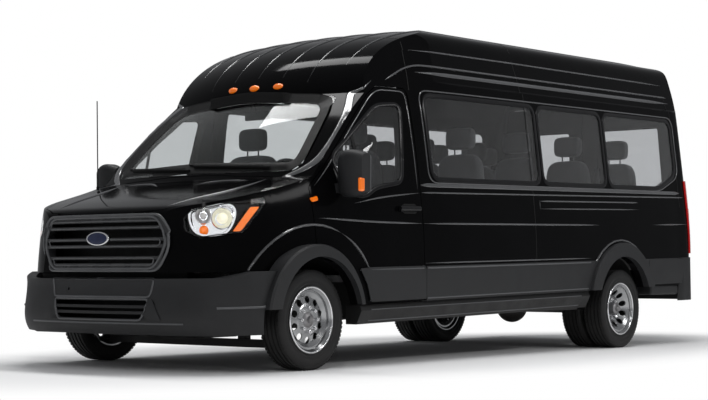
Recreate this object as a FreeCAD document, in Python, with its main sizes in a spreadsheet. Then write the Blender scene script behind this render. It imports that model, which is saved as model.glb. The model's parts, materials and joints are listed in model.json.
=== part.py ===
"""High-roof minibus with a hinged hood, four hinged doors and dual rear wheels.

Frame: +X forward, +Y to the vehicle's left, +Z up, in millimetres, with the origin
on the ground below the middle of the vehicle.  The body stands nose-down by a small
rake about the front axle, so its pieces are drawn level and share one tilted placement.
"""
import FreeCAD
import Part
import math
import os
import re

V = FreeCAD.Vector
UP = V(0, 0, 1)

doc = FreeCAD.newDocument("Minibus")
sheet = doc.addObject("Spreadsheet::Sheet", "Sizes")

SIZES = {
    # overall
    "length_overall": 6280,
    "body_width": 2180,
    "roof_height": 2442,
    "wheelbase": 3950,
    "front_overhang": 930,
    "tail_step": 72,
    "rake_degrees": 1.2,
    # wheels
    "tyre_radius": 326,
    "tyre_width": 180,
    "bead_radius": 202,
    "flange_radius": 219,
    "rim_width": 158,
    "rim_wall": 9,
    "track_front": 1870,
    "track_rear": 1780,
    "dual_spacing": 212,
    "hub_bore_radius": 30,
    "hand_holes": 10,
    "hand_hole_radius": 23,
    "hand_hole_circle": 132,
    "bolt_count": 6,
    "bolt_radius": 8,
    "bolt_circle": 80,
    "kingpin_y": 796,
    "running_clearance": 0.3,
    # body shell
    "side_wall": 62,
    "roof_wall": 46,
    "nose_wall": 46,
    "tail_wall": 60,
    "tail_corner": 110,
    "glass_thickness": 6,
    "seam_gap": 6,
    "trim_gap": 10,
    "seat_gap": 0.3,
    "shell_bottom": 412,
    "belt_height": 1245,
    "window_top": 1872,
    "gutter_height": 2092,
    "crown_drop": 14,
    # front
    "nose_hub_x": -3300,
    "cowl_x": 80,
    "cowl_height": 1262,
    "screen_top_x": -575,
    "screen_top_height": 1860,
    "hood_edge_x": 868,
    "hood_edge_height": 1046,
    "hood_rise": 1160,
    "grille_top": 1016,
    "grille_bottom": 662,
    "grille_half_top": 520,
    "grille_half_middle": 592,
    "grille_half_bottom": 505,
    "grille_middle": 885,
    "grille_bars": 3,
    "grille_bar_height": 20,
    "grille_bar_gap": 24,
    "bumper_top": 612,
    "bumper_bottom": 262,
    "bumper_wall": 70,
    "intake_half": 435,
    "intake_flare": 80,
    "intake_top": 474,
    "intake_bottom": 360,
    # doors
    "door_front_x": -13,
    "door_rear_x": -1149,
    "door_top": 1905,
    "door_bottom": 414,
    "door_hinge_y": 1096,
    "tail_hinge_y": 930,
    "tail_hinge_depth": 12,
    "tail_door_half": 900,
    "tail_door_bottom": 690,
    "tail_door_top": 2080,
    # side windows
    "pane_front_x": -1310,
    "pane_split_one": -2775,
    "pane_split_two": -3810,
    "pane_rear_x": -5030,
    "pane_gap": 46,
    # lower body
    "cladding_depth": 14,
    "cladding_top": 652,
    "rocker_bottom": 275,
    "rocker_width": 90,
    "arch_radius": 410,
    "flare_radius": 490,
    "flare_shift": 32,
    "flare_depth": 34,
    "rear_arch_radius": 436,
    "rear_flare_radius": 552,
    "rear_flare_depth": 46,
    "rear_bumper_height": 380,
    "rear_bumper_depth": 110,
    "tail_lamp_bottom": 690,
    "tail_lamp_top": 1340,
    # inside
    "floor_top": 606,
    "floor_thickness": 45.7,
    "footwell_half": 985,
    "bulkhead_half": 860,
    "bulkhead_top": 1150,
    "seat_width": 400,
    "seat_pitch": 800,
    "seat_rows": 4,
    "cushion_height": 1030,
    "backrest_height": 1640,
    # running gear
    "rail_half": 400,
    "rail_width": 64,
    "rail_height": 110,
    "rail_top": 560,
    "member_drop": 10,
    "axle_tube_radius": 42,
    "stub_reach": 60,
    "spring_half": 530,
    "spring_width": 60,
    "spring_length": 1250,
    "strut_top": 880,
    # fittings
    "mast_x": 120,
    "mast_y": 862,
    "mast_radius": 4,
    "mast_foot_radius": 11,
    "mast_foot_height": 26,
    "mast_height": 640,
    "marker_spacing": 215,
    "socket_y": 300,
    "socket_height": 545,
    "socket_face": 896,
    "socket_radius": 9,
    "socket_depth": 40,
    "socket_cap_radius": 24,
}
for row, (alias, value) in enumerate(SIZES.items(), start=1):
    sheet.set(f"A{row}", alias)
    sheet.set(f"B{row}", str(value))
    sheet.setAlias(f"B{row}", alias)
doc.recompute()


class Cells:
    """Reads a driving dimension from the sheet by its alias."""

    def __getattr__(self, alias):
        return float(sheet.get(alias))


S = Cells()

AXLE_FRONT = S.length_overall / 2 - S.front_overhang
AXLE_REAR = AXLE_FRONT - S.wheelbase
TAIL = S.tail_step - S.length_overall / 2
HALF_WIDTH = S.body_width / 2
# an x from the front axle that lies past the tail
BEYOND = -S.length_overall
# the rear axle's height in the level body frame, where the rake lowers it
REAR_AXLE_HEIGHT = S.tyre_radius - S.wheelbase * math.sin(math.radians(S.rake_degrees))

RAKE = FreeCAD.Placement(
    V(0, 0, 0),
    FreeCAD.Rotation(V(0, 1, 0), S.rake_degrees),
    V(AXLE_FRONT, 0, S.tyre_radius),
)
LEVEL = FreeCAD.Placement()
SIDES = (("left", 1), ("right", -1))

nodes = []


def expression(text):
    """Turns words in a formula into references to the sheet."""
    return re.sub(r"[a-z][a-z_]+[a-z]", lambda match: "Sizes." + match.group(0), text)


def bind(item, **formulas):
    for name, formula in formulas.items():
        item.setExpression(name, expression(formula))
    return item


def place(item, x, y, z):
    item.setExpression("Placement.Base.x", expression(x))
    item.setExpression("Placement.Base.y", expression(y))
    item.setExpression("Placement.Base.z", expression(z))
    return item


FRONT = "(length_overall / 2 - front_overhang)"
REAR = "(length_overall / 2 - front_overhang - wheelbase)"


def box(name, length, width, height, x, y, z):
    item = doc.addObject("Part::Box", name)
    bind(item, Length=length, Width=width, Height=height)
    return place(item, x, y, z)


def rod(name, radius, length, x, y, z, along="z"):
    """A cylinder from (x, y, z) along one axis."""
    item = doc.addObject("Part::Cylinder", name)
    bind(item, Radius=radius, Height=length)
    turns = {
        "z": FreeCAD.Rotation(),
        "y": FreeCAD.Rotation(V(1, 0, 0), -90),
        "x": FreeCAD.Rotation(V(0, 1, 0), 90),
    }
    item.Placement = FreeCAD.Placement(V(0, 0, 0), turns[along])
    return place(item, x, y, z)


def shaped(name, shape):
    item = doc.addObject("Part::Feature", name)
    item.Shape = shape
    return item


def node(label, *pieces, placement=RAKE, fuse=False):
    """Registers one named sub-part made of the given pieces."""
    if fuse and len(pieces) > 1:
        item = doc.addObject("Part::MultiFuse", label)
        item.Shapes = list(pieces)
    else:
        item = doc.addObject("Part::Compound", label)
        item.Links = list(pieces)
    item.Label = label
    item.Placement = placement
    nodes.append(item)
    return item


# outlines

def spline(points, steps=None, leave=None, arrive=None):
    """A smooth curve through the points; given steps and end directions let lofts match."""
    curve = Part.BSplineCurve()
    options = {"Points": [V(*point) for point in points]}
    if steps:
        options["Parameters"] = steps
    if leave:
        options["InitialTangent"] = V(*leave)
        options["FinalTangent"] = V(*arrive)
    curve.interpolate(**options)
    return curve.toShape()


def shared_steps(curves):
    """The mean spacing of several curves' points, from 0 to 1, as one list of parameters."""
    spacings = []
    for points in curves:
        places = [V(*point) for point in points]
        lengths = [places[index].distanceToPoint(places[index + 1]) for index in range(len(places) - 1)]
        spacings.append([length / sum(lengths) for length in lengths])
    steps = [0.0]
    for index in range(len(spacings[0])):
        steps.append(steps[-1] + sum(row[index] for row in spacings) / len(spacings))
    return steps


def line(start, end):
    return Part.makeLine(V(*start), V(*end))


def rounded(points, radius):
    """A closed flat outline whose corners are arcs of one radius, as a wire."""
    corners = [V(*point) for point in points]
    edges = []
    ends = []
    count = len(corners)
    for index in range(count):
        before = corners[index - 1]
        here = corners[index]
        after = corners[(index + 1) % count]
        back = before.sub(here)
        ahead = after.sub(here)
        reach = min(back.Length, ahead.Length) * 0.45
        half = back.getAngle(ahead) / 2
        cut = min(radius / math.tan(half), reach)
        back.normalize()
        ahead.normalize()
        start = here.add(back * cut)
        end = here.add(ahead * cut)
        middle = back.add(ahead)
        middle.normalize()
        arc_radius = cut * math.tan(half)
        middle = here.add(middle * (arc_radius / math.sin(half) - arc_radius))
        ends.append((start, middle, end))
    for index in range(count):
        start, middle, end = ends[index]
        edges.append(Part.Arc(start, middle, end).toShape())
        following = ends[(index + 1) % count][0]
        if end.distanceToPoint(following) > 0.01:
            edges.append(Part.makeLine(end, following))
    return Part.Wire(edges)


def side_prism(points, y_from, y_to, radius=0.0, grow=0.0):
    """A prism across the vehicle; points are (x from the front axle, z)."""
    flat = [(AXLE_FRONT + x, y_from, z) for x, z in points]
    if radius > 0:
        wire = rounded(flat, radius)
    else:
        wire = Part.makePolygon([V(*point) for point in flat + flat[:1]])
    face = Part.Face(wire)
    if grow:
        face = Part.Face(face.makeOffset2D(grow).Wires[0])
    return face.extrude(V(0, y_to - y_from, 0))


def front_prism(points, x_from, x_to, radius=0.0, grow=0.0):
    """A prism along the vehicle; points are (y, z)."""
    flat = [(x_from, y, z) for y, z in points]
    if radius > 0:
        wire = rounded(flat, radius)
    else:
        wire = Part.makePolygon([V(*point) for point in flat + flat[:1]])
    face = Part.Face(wire)
    if grow:
        face = Part.Face(face.makeOffset2D(grow).Wires[0])
    return face.extrude(V(x_to - x_from, 0, 0))


def mirrored(shape):
    return shape.mirror(V(0, 0, 0), V(0, 1, 0))


def on_side(shape, sign):
    return shape if sign > 0 else mirrored(shape)


def slab(x_from, x_to, y_from, y_to, z_from, z_to):
    return Part.makeBox(x_to - x_from, y_to - y_from, z_to - z_from, V(x_from, y_from, z_from))


def cylinder_y(radius, x, y_from, y_to, z):
    return Part.makeCylinder(radius, y_to - y_from, V(x, y_from, z), V(0, 1, 0))


# the body's outer form

def blend(first, second, share):
    """A point list part of the way between two others."""
    return [(ax + (bx - ax) * share, ay + (by - ay) * share)
            for (ax, ay), (bx, by) in zip(first, second)]


def plan_levels():
    """(height, half-width of the side, nose points from the front axle) from sill to roof."""
    half = HALF_WIDTH
    lower = [(960, 0), (933, 300), (855, 600), (712, 815), (430, 975), (50, 1055), (-400, 1082)]
    belt = [(930, 0), (880, 300), (775, 560), (600, 775), (310, 915), (-60, 990), (-480, 1032)]
    top = [(380, 0), (310, 260), (120, 500), (-170, 700), (-520, 850), (-880, 925), (-1250, 965)]
    upper = [(250, 0), (165, 240), (-50, 455), (-360, 615), (-730, 745), (-1110, 825), (-1480, 865)]
    top_height = S.window_top
    return (
        (200.0, half - 26, lower),
        (450.0, half - 7, lower),
        (700.0, half, lower),
        (950.0, half - 6, blend(lower, belt, 0.22)),
        (S.belt_height, half - 30, belt),
        ((S.belt_height + top_height) / 2, half - 62, blend(belt, top, 0.5)),
        (top_height, half - 96, top),
        (S.gutter_height + 90, half - 140, blend(top, upper, 0.8)),
        (2700.0, half - 240, upper),
    )


def plan_form(inset, nose_inset, tail_inset):
    """The left half's solid inside a loft of level outlines: nose corner, side and tail corner."""
    past = -300.0
    tail = TAIL + tail_inset
    corner = S.tail_corner - inset * 0.6
    rows = []
    for level, (height, side, nose) in enumerate(plan_levels()):
        if level == 0:
            height += inset
        row = [(AXLE_FRONT + x - nose_inset, y - inset if y > 0 else 0, height) for x, y in nose]
        row.insert(0, (row[1][0], past, height))
        side -= inset
        start, end = AXLE_FRONT - 1900, tail + corner + 90
        for share in (0, 0.22, 0.45, 0.68, 0.88, 0.95, 1):
            row.append((start + (end - start) * share, side, height))
        for turn in range(5):
            angle = math.radians(90 + turn * 22.5)
            row.append((tail + corner + corner * math.cos(angle), side - corner + corner * math.sin(angle),
                        height))
        for y in (side - corner - 90, side - corner - 300, 200, past):
            row.append((tail, y, height))
        rows.append(row)
    steps = shared_steps(rows)
    sections = [Part.Wire([spline(row, steps)]) for row in rows]
    skin = Part.makeLoft(sections, False, False, False, 3)
    rims = skin.Edges
    low = min(rims, key=lambda edge: edge.BoundBox.ZMax)
    high = max(rims, key=lambda edge: edge.BoundBox.ZMin)
    ends = [edge for edge in rims if not edge.isSame(low) and not edge.isSame(high)]
    faces = list(skin.Faces)
    closers = []
    for edge in (low, high):
        closers.append(line(tuple(edge.Vertexes[0].Point), tuple(edge.Vertexes[-1].Point)))
        faces.append(Part.Face(Part.Wire([edge, closers[-1]])))
    faces.append(Part.Face(Part.Wire(Part.__sortEdges__(ends + closers))))
    shell = Part.makeShell(faces)
    shell.sewShape()
    solid = Part.makeSolid(shell)
    if solid.Volume < 0:
        solid.reverse()
    return solid


def profile_form(nose_inset, roof_inset):
    """The side profile, turned about an upright axis far behind the nose."""
    a = AXLE_FRONT
    hub = a + S.nose_hub_x

    def at(x, z):
        return (a + x - nose_inset, 0, z - roof_inset)

    foot = (a + 900 - nose_inset, 0, 150)
    sill = at(905, S.grille_bottom + roof_inset)
    lip = at(S.hood_edge_x, S.hood_edge_height)
    cowl = at(S.cowl_x, S.cowl_height)
    head = at(S.screen_top_x, S.screen_top_height)
    brow = at(S.screen_top_x - 28, S.screen_top_height + 75)
    crown = at(-2300, S.roof_height + 22)
    top = S.roof_height + 60 - roof_inset
    edges = [
        line((hub, 0, 150), foot),
        line(foot, sill),
        line(sill, at(S.hood_edge_x + 22, S.hood_edge_height - 40)),
        spline([at(S.hood_edge_x + 22, S.hood_edge_height - 40), lip, at(800, 1076), at(640, 1117),
                at(450, S.hood_rise), at(250, 1210), cowl]),
        spline([cowl, at((S.cowl_x + S.screen_top_x) / 2 + 12, (S.cowl_height + S.screen_top_height) / 2 + 12),
                head]),
        spline([head, brow, at(-826, 2165), at(-1200, 2322), at(-1750, S.roof_height - 26), crown]),
        line(crown, (hub, 0, top)),
        line((hub, 0, top), (hub, 0, 150)),
    ]
    face = Part.Face(Part.Wire(edges))
    face.rotate(V(hub, 0, 0), UP, -80)
    turned = face.revolve(V(hub, 0, 0), UP, 160)
    rear_box = slab(TAIL - 200, hub + 300, -1400, 1400, 150, top)
    return turned.fuse(rear_box)


def section_form(inset, roof_inset):
    """The roof's cross-section, run the length of the vehicle."""
    half = HALF_WIDTH
    top = S.roof_height - roof_inset
    gutter = S.gutter_height
    side = [(half + 60 - inset, 100), (half + 60 - inset, gutter - 240)]
    shoulder = [
        (half - 132 - inset, gutter - 110),
        (half - 166 - inset, gutter + 10),
        (half - 205 - inset, gutter + 125 - roof_inset * 0.3),
        (half - 262 - inset, gutter + 245 - roof_inset * 0.8),
        (half - 400 - inset, top - 52),
        (half - 700 - inset, top - S.crown_drop),
        (0, top),
    ]
    arc = [(0, y, z) for y, z in shoulder]
    back = [(0, -y, z) for y, z in reversed(shoulder[:-1])]
    low_left, high_left = [(0, y, z) for y, z in side]
    low_right, high_right = [(0, -y, z) for y, z in side]
    wire = Part.Wire([
        spline(arc + back),
        line(back[-1], high_right),
        line(high_right, low_right),
        line(low_right, low_left),
        line(low_left, high_left),
        line(high_left, arc[0]),
    ])
    return Part.Face(wire).extrude(V(S.length_overall + 400, 0, 0)).translated(V(TAIL - 200, 0, 0))


def body_form(side, roof, nose, tail, reach):
    """The body's solid form drawn in by the given amounts, its left half and a strip past the middle."""
    left_of = slab(TAIL - 400, S.length_overall, -reach, 1500, 0, 2900)
    form = plan_form(side, nose, tail).common(left_of)
    form = form.common(section_form(side, roof)).common(profile_form(nose, roof))
    return max(form.Solids, key=lambda solid: solid.Volume)


def piece_of(shape, smallest=20000.0):
    """Drops specks that a cut leaves, keeping the real solids."""
    solids = [solid for solid in shape.Solids if solid.Volume > smallest]
    return solids[0] if len(solids) == 1 else Part.makeCompound(solids)


def whole(half):
    """Joins a left half to its mirror image across the middle plane."""
    return half.fuse(mirrored(half)).removeSplitter()


def hollow(outer, inner):
    """A solid with a closed void, from one form that lies wholly inside another."""
    return Part.makeSolid(Part.makeCompound([outer.Shells[0], inner.Shells[0].reversed()]))


OUTER = body_form(0, 0, 0, 0, 60)
INNER = body_form(S.side_wall, S.roof_wall, S.nose_wall, S.tail_wall, 40)
GLAZED = body_form(*[S.glass_thickness] * 4, 50)
CABIN = body_form(S.side_wall + S.trim_gap, S.roof_wall + S.trim_gap, S.nose_wall + S.trim_gap,
                  S.tail_wall + S.trim_gap, 30)
CLAD = body_form(*[-S.cladding_depth] * 4, 80)

FAR = S.length_overall
WALL = hollow(OUTER, INNER).common(slab(-FAR, FAR, 0, 1500, S.shell_bottom, 2900))
SKIN = hollow(OUTER, GLAZED)
CLAD_SKIN = hollow(CLAD, OUTER)

g = S.seam_gap

# arches and flares

def arch(radius, x, z, y_from=500, y_to=1400):
    return cylinder_y(radius, x, y_from, y_to, z)


ARCH_FRONT = arch(S.arch_radius, AXLE_FRONT, S.tyre_radius)
ARCH_REAR = arch(S.rear_arch_radius, AXLE_REAR, REAR_AXLE_HEIGHT)
FLARE_FRONT = arch(S.flare_radius, AXLE_FRONT + S.flare_shift, S.tyre_radius)
FLARE_REAR = arch(S.rear_flare_radius, AXLE_REAR, REAR_AXLE_HEIGHT)

# outlines of the openings, as (x from the front axle, z)

DOOR_OUTLINE = [
    (S.door_front_x, S.door_bottom),
    (S.door_front_x, 1190),
    (-165, 1308),
    (S.screen_top_x - 170, 1842),
    (-850, S.door_top),
    (S.door_rear_x, S.door_top),
    (S.door_rear_x, S.door_bottom),
]
DOOR_WINDOW = [
    (-262, 1388),
    (-800, 1772),
    (-1050, 1790),
    (-955, 1238),
    (-660, 1196),
    (-540, 1130),
    (-360, 1150),
]
SLIDING_DOOR = [
    (S.door_rear_x - 60, S.shell_bottom),
    (S.door_rear_x - 60, S.door_top + 60),
    (-2490, S.door_top + 60),
    (-2490, S.shell_bottom),
]
PANES = [
    [
        (S.pane_front_x, S.belt_height + 20),
        (S.pane_front_x, S.window_top),
        (S.pane_split_one + S.pane_gap / 2, S.window_top),
        (S.pane_split_one + S.pane_gap / 2, S.belt_height + 20),
    ],
    [
        (S.pane_split_one - S.pane_gap / 2, S.belt_height + 20),
        (S.pane_split_one - S.pane_gap / 2, S.window_top),
        (S.pane_split_two + S.pane_gap / 2, S.window_top),
        (S.pane_split_two + S.pane_gap / 2, S.belt_height + 20),
    ],
    [
        (S.pane_split_two - S.pane_gap / 2, S.belt_height + 20),
        (S.pane_split_two - S.pane_gap / 2, S.window_top),
        (S.pane_rear_x, S.window_top),
        (S.pane_rear_x, 1385),
        (-4700, S.belt_height + 20),
    ],
]
HOOD_OUTLINE = [
    (S.cowl_x - 22, 0),
    (S.cowl_x - 36, 420),
    (S.cowl_x - 82, 800),
    (330, 860),
    (560, 800),
    (740, 690),
    (835, 520),
    (S.hood_edge_x + 8, 250),
    (S.hood_edge_x + 14, 0),
]
SCREEN_OUTLINE = [
    (-872, S.cowl_height + 38),
    (-735, S.screen_top_height - 18),
    (735, S.screen_top_height - 18),
    (872, S.cowl_height + 38),
]
TAIL_WINDOW = [(150, 1290), (150, 1850), (780, 1850), (820, 1290)]


def hood_plan(grow):
    """The hood's outline seen from above, both halves."""
    half = [(AXLE_FRONT + x, y, 900) for x, y in HOOD_OUTLINE]
    other = [(x, -y, z) for x, y, z in half[1:-1]]
    wire = Part.makePolygon([V(*point) for point in half + other[::-1] + half[:1]])
    face = Part.Face(wire)
    if grow:
        face = Part.Face(face.makeOffset2D(grow).Wires[0])
    return face.extrude(V(0, 0, 600))


def head_lamp_prism(grow=0.0):
    """The left lamp's outline, swept along the corner's diagonal."""
    angle = math.radians(40)
    outline = [(-1362, 985), (-1310, 1040), (-1090, 1086), (-842, 1112), (-872, 1040), (-990, 893),
               (-1250, 858), (-1352, 905)]
    across = V(-math.sin(angle), math.cos(angle), 0)
    ahead = V(math.cos(angle), math.sin(angle), 0)
    centre = V(AXLE_FRONT - 2100, 0, 0) + ahead * 1800
    points = [centre + across * s + UP * z for s, z in outline]
    wire = rounded([tuple(point) for point in points], 18)
    face = Part.Face(wire)
    if grow:
        face = Part.Face(face.makeOffset2D(grow).Wires[0])
    return face.extrude(ahead * 1700)


HEAD_LAMP = head_lamp_prism()
GRILLE_OUTLINE = [
    (-S.grille_half_bottom, S.grille_bottom),
    (-S.grille_half_middle, S.grille_middle),
    (-S.grille_half_top, S.grille_top),
    (S.grille_half_top, S.grille_top),
    (S.grille_half_middle, S.grille_middle),
    (S.grille_half_bottom, S.grille_bottom),
]
GRILLE_PRISM = front_prism(GRILLE_OUTLINE, AXLE_FRONT + 400, AXLE_FRONT + 1200, radius=50)
SCREEN_PRISM = front_prism(SCREEN_OUTLINE, AXLE_FRONT - 1200, AXLE_FRONT + 400, radius=60)
TAIL_DOOR = [
    (g / 2, S.tail_door_bottom),
    (g / 2, S.tail_door_top),
    (S.tail_door_half - 85, S.tail_door_top),
    (S.tail_door_half, 1500),
    (S.tail_door_half, S.tail_door_bottom),
]


def tail_outline(grow=0.0):
    return front_prism(TAIL_DOOR, TAIL - 300, TAIL + 300, radius=40, grow=grow)


def aperture(outline, radius, sign):
    return on_side(side_prism(outline, 500, 1400, radius=radius, grow=g), sign)


# front doors, drawn on the left and mirrored to the right

def door_leaf():
    outline = side_prism(DOOR_OUTLINE, 500, 1400, radius=45)
    clear_of_flare = arch(S.flare_radius + g, AXLE_FRONT + S.flare_shift, S.tyre_radius)
    window = side_prism(DOOR_WINDOW, 500, 1400, radius=50)
    swing = Part.makeCylinder(S.door_front_x - S.door_rear_x + 0.5, 3000,
                              V(AXLE_FRONT + S.door_front_x, S.door_hinge_y, 0), UP)
    leaf = WALL.common(outline).common(swing).cut(clear_of_flare).cut(window)
    band = slab(AXLE_FRONT + S.door_rear_x - 100, AXLE_FRONT, 500, 1500, S.shell_bottom, S.cladding_top)
    clad = CLAD_SKIN.common(band.common(outline).common(swing).cut(clear_of_flare))
    return piece_of(piece_of(leaf).fuse(piece_of(clad)))


def door_glass():
    return piece_of(SKIN.common(side_prism(DOOR_WINDOW, 500, 1400, radius=50)))


def door_mirror():
    """A mirror housing on a short arm, carried by the front door."""
    a = AXLE_FRONT
    shell = Part.makeLoft([
        rounded([(a - 325, 1062, 1140), (a - 325, 1062, 1405),
                 (a - 235, 1062, 1405), (a - 235, 1062, 1140)], 40),
        rounded([(a - 345, 1150, 1120), (a - 345, 1150, 1432),
                 (a - 200, 1150, 1432), (a - 200, 1150, 1120)], 50),
        rounded([(a - 340, 1264, 1150), (a - 340, 1264, 1405),
                 (a - 235, 1264, 1405), (a - 235, 1264, 1150)], 45),
    ], True, False)
    arm = slab(a - 320, a - 250, 960, 1130, 1150, 1215)
    return piece_of(shell.fuse(arm).cut(OUTER))


LEAF = door_leaf()
LEAF_GLASS = door_glass()
MIRROR = door_mirror()
for side, sign in SIDES:
    node(f"door_front_{side}", shaped(f"door_leaf_{side}", on_side(LEAF, sign)))
    node(f"door_glass_{side}", shaped(f"door_pane_{side}", on_side(LEAF_GLASS, sign)))
    node(f"mirror_{side}", shaped(f"mirror_shell_{side}", on_side(MIRROR, sign)))


# hood

def hood():
    """The whole engine lid, from its edge above the grille to the cowl."""
    region = hood_plan(0).common(slab(-FAR, FAR, 0, 1500, S.hood_edge_height - 90, 3000))
    panel = WALL.common(region).cut(head_lamp_prism(g))
    panel = panel.cut(front_prism(GRILLE_OUTLINE, AXLE_FRONT + 400, AXLE_FRONT + 1200, radius=50, grow=g))
    node("hood", shaped("hood_panel", whole(piece_of(panel))))


hood()

# rear doors

def tail_doors():
    region = slab(TAIL - 50, TAIL + 200, 0, 1500, 0, 3000).common(tail_outline())
    window = front_prism(TAIL_WINDOW, TAIL - 300, TAIL + 300, radius=45)
    swing = Part.makeCylinder(S.tail_hinge_y - g / 2 + 0.5, 3000,
                              V(TAIL - S.tail_hinge_depth, S.tail_hinge_y, 0), UP)
    leaf = piece_of(WALL.common(region).common(swing).cut(window))
    glass = piece_of(SKIN.common(window.common(slab(TAIL - 50, TAIL + 200, 0, 1500, 0, 3000))))
    for side, sign in SIDES:
        node(f"door_rear_{side}", shaped(f"tail_leaf_{side}", on_side(leaf, sign)))
        node(f"rear_glass_{side}", shaped(f"tail_pane_{side}", on_side(glass, sign)))


tail_doors()

# fixed shell, split where the panels meet

ROOF_EDGE = [
    (BEYOND, S.gutter_height), (-1600, S.gutter_height), (-1100, S.gutter_height - 60),
    (S.door_rear_x + 100, S.gutter_height - 60), (S.door_rear_x + 100, S.screen_top_height - 2),
    (400, S.screen_top_height - 2),
]


def roof():
    zone = side_prism(ROOF_EDGE + [(400, 2700), (BEYOND, 2700)], 0, 1500)
    shape = WALL.common(zone).cut(SCREEN_PRISM).cut(aperture(DOOR_OUTLINE, 45, 1))
    node("roof", shaped("roof_shell", whole(piece_of(shape))))


def windscreen_frame():
    """The pillars beside the windscreen, joined by the cowl below and a header above."""
    low = S.cowl_height - 20
    high = S.screen_top_height - 2 - S.seat_gap
    zone = side_prism([(120, low), (-1000, low), (-1000, high), (300, high)], 0, 1400)
    pillar = WALL.common(zone).cut(aperture(DOOR_OUTLINE, 45, 1)).cut(SCREEN_PRISM)
    pillar = piece_of(pillar.cut(hood_plan(g)))
    node("windscreen_frame", shaped("screen_surround", whole(pillar)))


def fenders():
    """The nose's corners and the panel over each front wheel, round the lamp and the arch."""
    low = S.bumper_top + 38
    high = S.cowl_height - 20 - S.seat_gap
    zone = side_prism([(900, low), (900, high), (-600, high),
                       (-600, S.shell_bottom), (0, S.shell_bottom), (0, low)], 0, 1500)
    upper = slab(-FAR, FAR, -1500, 1500, S.hood_edge_height - 96, 3000)
    shape = WALL.common(zone).cut(aperture(DOOR_OUTLINE, 45, 1).cut(FLARE_FRONT))
    shape = shape.cut(hood_plan(g).common(upper)).cut(ARCH_FRONT).cut(HEAD_LAMP).cut(GRILLE_PRISM)
    shape = piece_of(shape.cut(slab(AXLE_FRONT + 500, FAR, 0, S.grille_half_bottom - 60, 0, 3000)))
    for side, sign in SIDES:
        node(f"fender_{side}", shaped(f"fender_panel_{side}", on_side(shape, sign)))


def body_sides():
    """The fixed sides behind the doors; the right one has the sliding door's opening."""
    top = side_prism([(BEYOND, S.shell_bottom), (S.door_rear_x + 100, S.shell_bottom),
                      (S.door_rear_x + 100, S.gutter_height - 60), (-1100, S.gutter_height - 60),
                      (-1600, S.gutter_height), (BEYOND, S.gutter_height)], 300, 1400)
    blank = WALL.common(top).cut(ARCH_REAR).cut(aperture(DOOR_OUTLINE, 45, 1)).cut(tail_outline(g))
    cutters = [side_prism(outline, 500, 1400, radius=60) for outline in PANES]
    panes = [piece_of(SKIN.common(cutter)) for cutter in cutters]
    panel = blank.cut(cutters[0].fuse(cutters[1]).fuse(cutters[2]))
    opening = side_prism(SLIDING_DOOR, 500, 1400, radius=45, grow=g)
    leaf = side_prism(SLIDING_DOOR, 500, 1400, radius=45).cut(cutters[0])
    node("body_side_left", shaped("side_panel_left", piece_of(panel)))
    node("body_side_right", shaped("side_panel_right", mirrored(piece_of(panel.cut(opening)))))
    node("door_sliding", shaped("sliding_leaf", mirrored(piece_of(WALL.common(leaf)))))
    for side, sign in SIDES:
        whole = Part.makeCompound([on_side(pane, sign) for pane in panes])
        node(f"side_glass_{side}", shaped(f"side_panes_{side}", whole))


roof()
windscreen_frame()
fenders()
body_sides()
screen = SKIN.common(SCREEN_PRISM.common(slab(-FAR, FAR, 0, 1500, 0, 3000)))
node("windscreen", shaped("windscreen_pane", whole(piece_of(screen))))

# head lamps

LENS = piece_of(SKIN.common(HEAD_LAMP))
node("head_lamps", *[shaped(f"head_lamp_{side}", on_side(LENS, sign)) for side, sign in SIDES])

# grille

def grille():
    """A surround and pairs of level bars across the opening, cut from the nose wall."""
    inner = front_prism(GRILLE_OUTLINE, AXLE_FRONT + 400, AXLE_FRONT + 1200, radius=40, grow=-26)
    pattern = GRILLE_PRISM.cut(inner)
    step = (S.grille_top - S.grille_bottom) / S.grille_bars
    bars = []
    for index in range(int(S.grille_bars)):
        middle = S.grille_bottom + (index + 0.5) * step
        for way in (-1, 1):
            height = middle + way * (S.grille_bar_gap + S.grille_bar_height) / 2
            band = slab(AXLE_FRONT + 500, FAR, -700, 700, height - S.grille_bar_height / 2,
                        height + S.grille_bar_height / 2)
            bars.append(band.common(inner))
    pattern = pattern.multiFuse(bars)
    nose = WALL.common(slab(AXLE_FRONT + 500, FAR, 0, 700, S.grille_bottom - 30, S.grille_top + 30))
    node("grille", shaped("grille_frame", whole(piece_of(nose.common(pattern)))))


grille()

# front bumper

def bumper_outline(height, grow, inset):
    a = AXLE_FRONT
    half = [(a + 930 + grow - inset, 0, height), (a + 915 + grow - inset, 320, height),
            (a + 876 + grow - inset, 600, height), (a + 790 + grow - inset, 850, height),
            (a + 640 + grow * 0.5 - inset * 0.5, 1015 - inset, height),
            (a + 340, HALF_WIDTH - 10 + grow * 0.4 - inset, height)]
    other = [(x, -y, z) for x, y, z in reversed(half)]
    front = spline(other + half[1:])
    back = line(half[-1], other[0])
    return Part.Wire([front, back])


def bumper_form(inset):
    return Part.makeLoft([
        bumper_outline(S.bumper_bottom - 5, -40, inset),
        bumper_outline(S.bumper_bottom + 45, -6, inset),
        bumper_outline((S.bumper_top + S.bumper_bottom) / 2, 0, inset),
        bumper_outline(S.bumper_top + 40, -8, inset),
    ], True, False)


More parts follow.
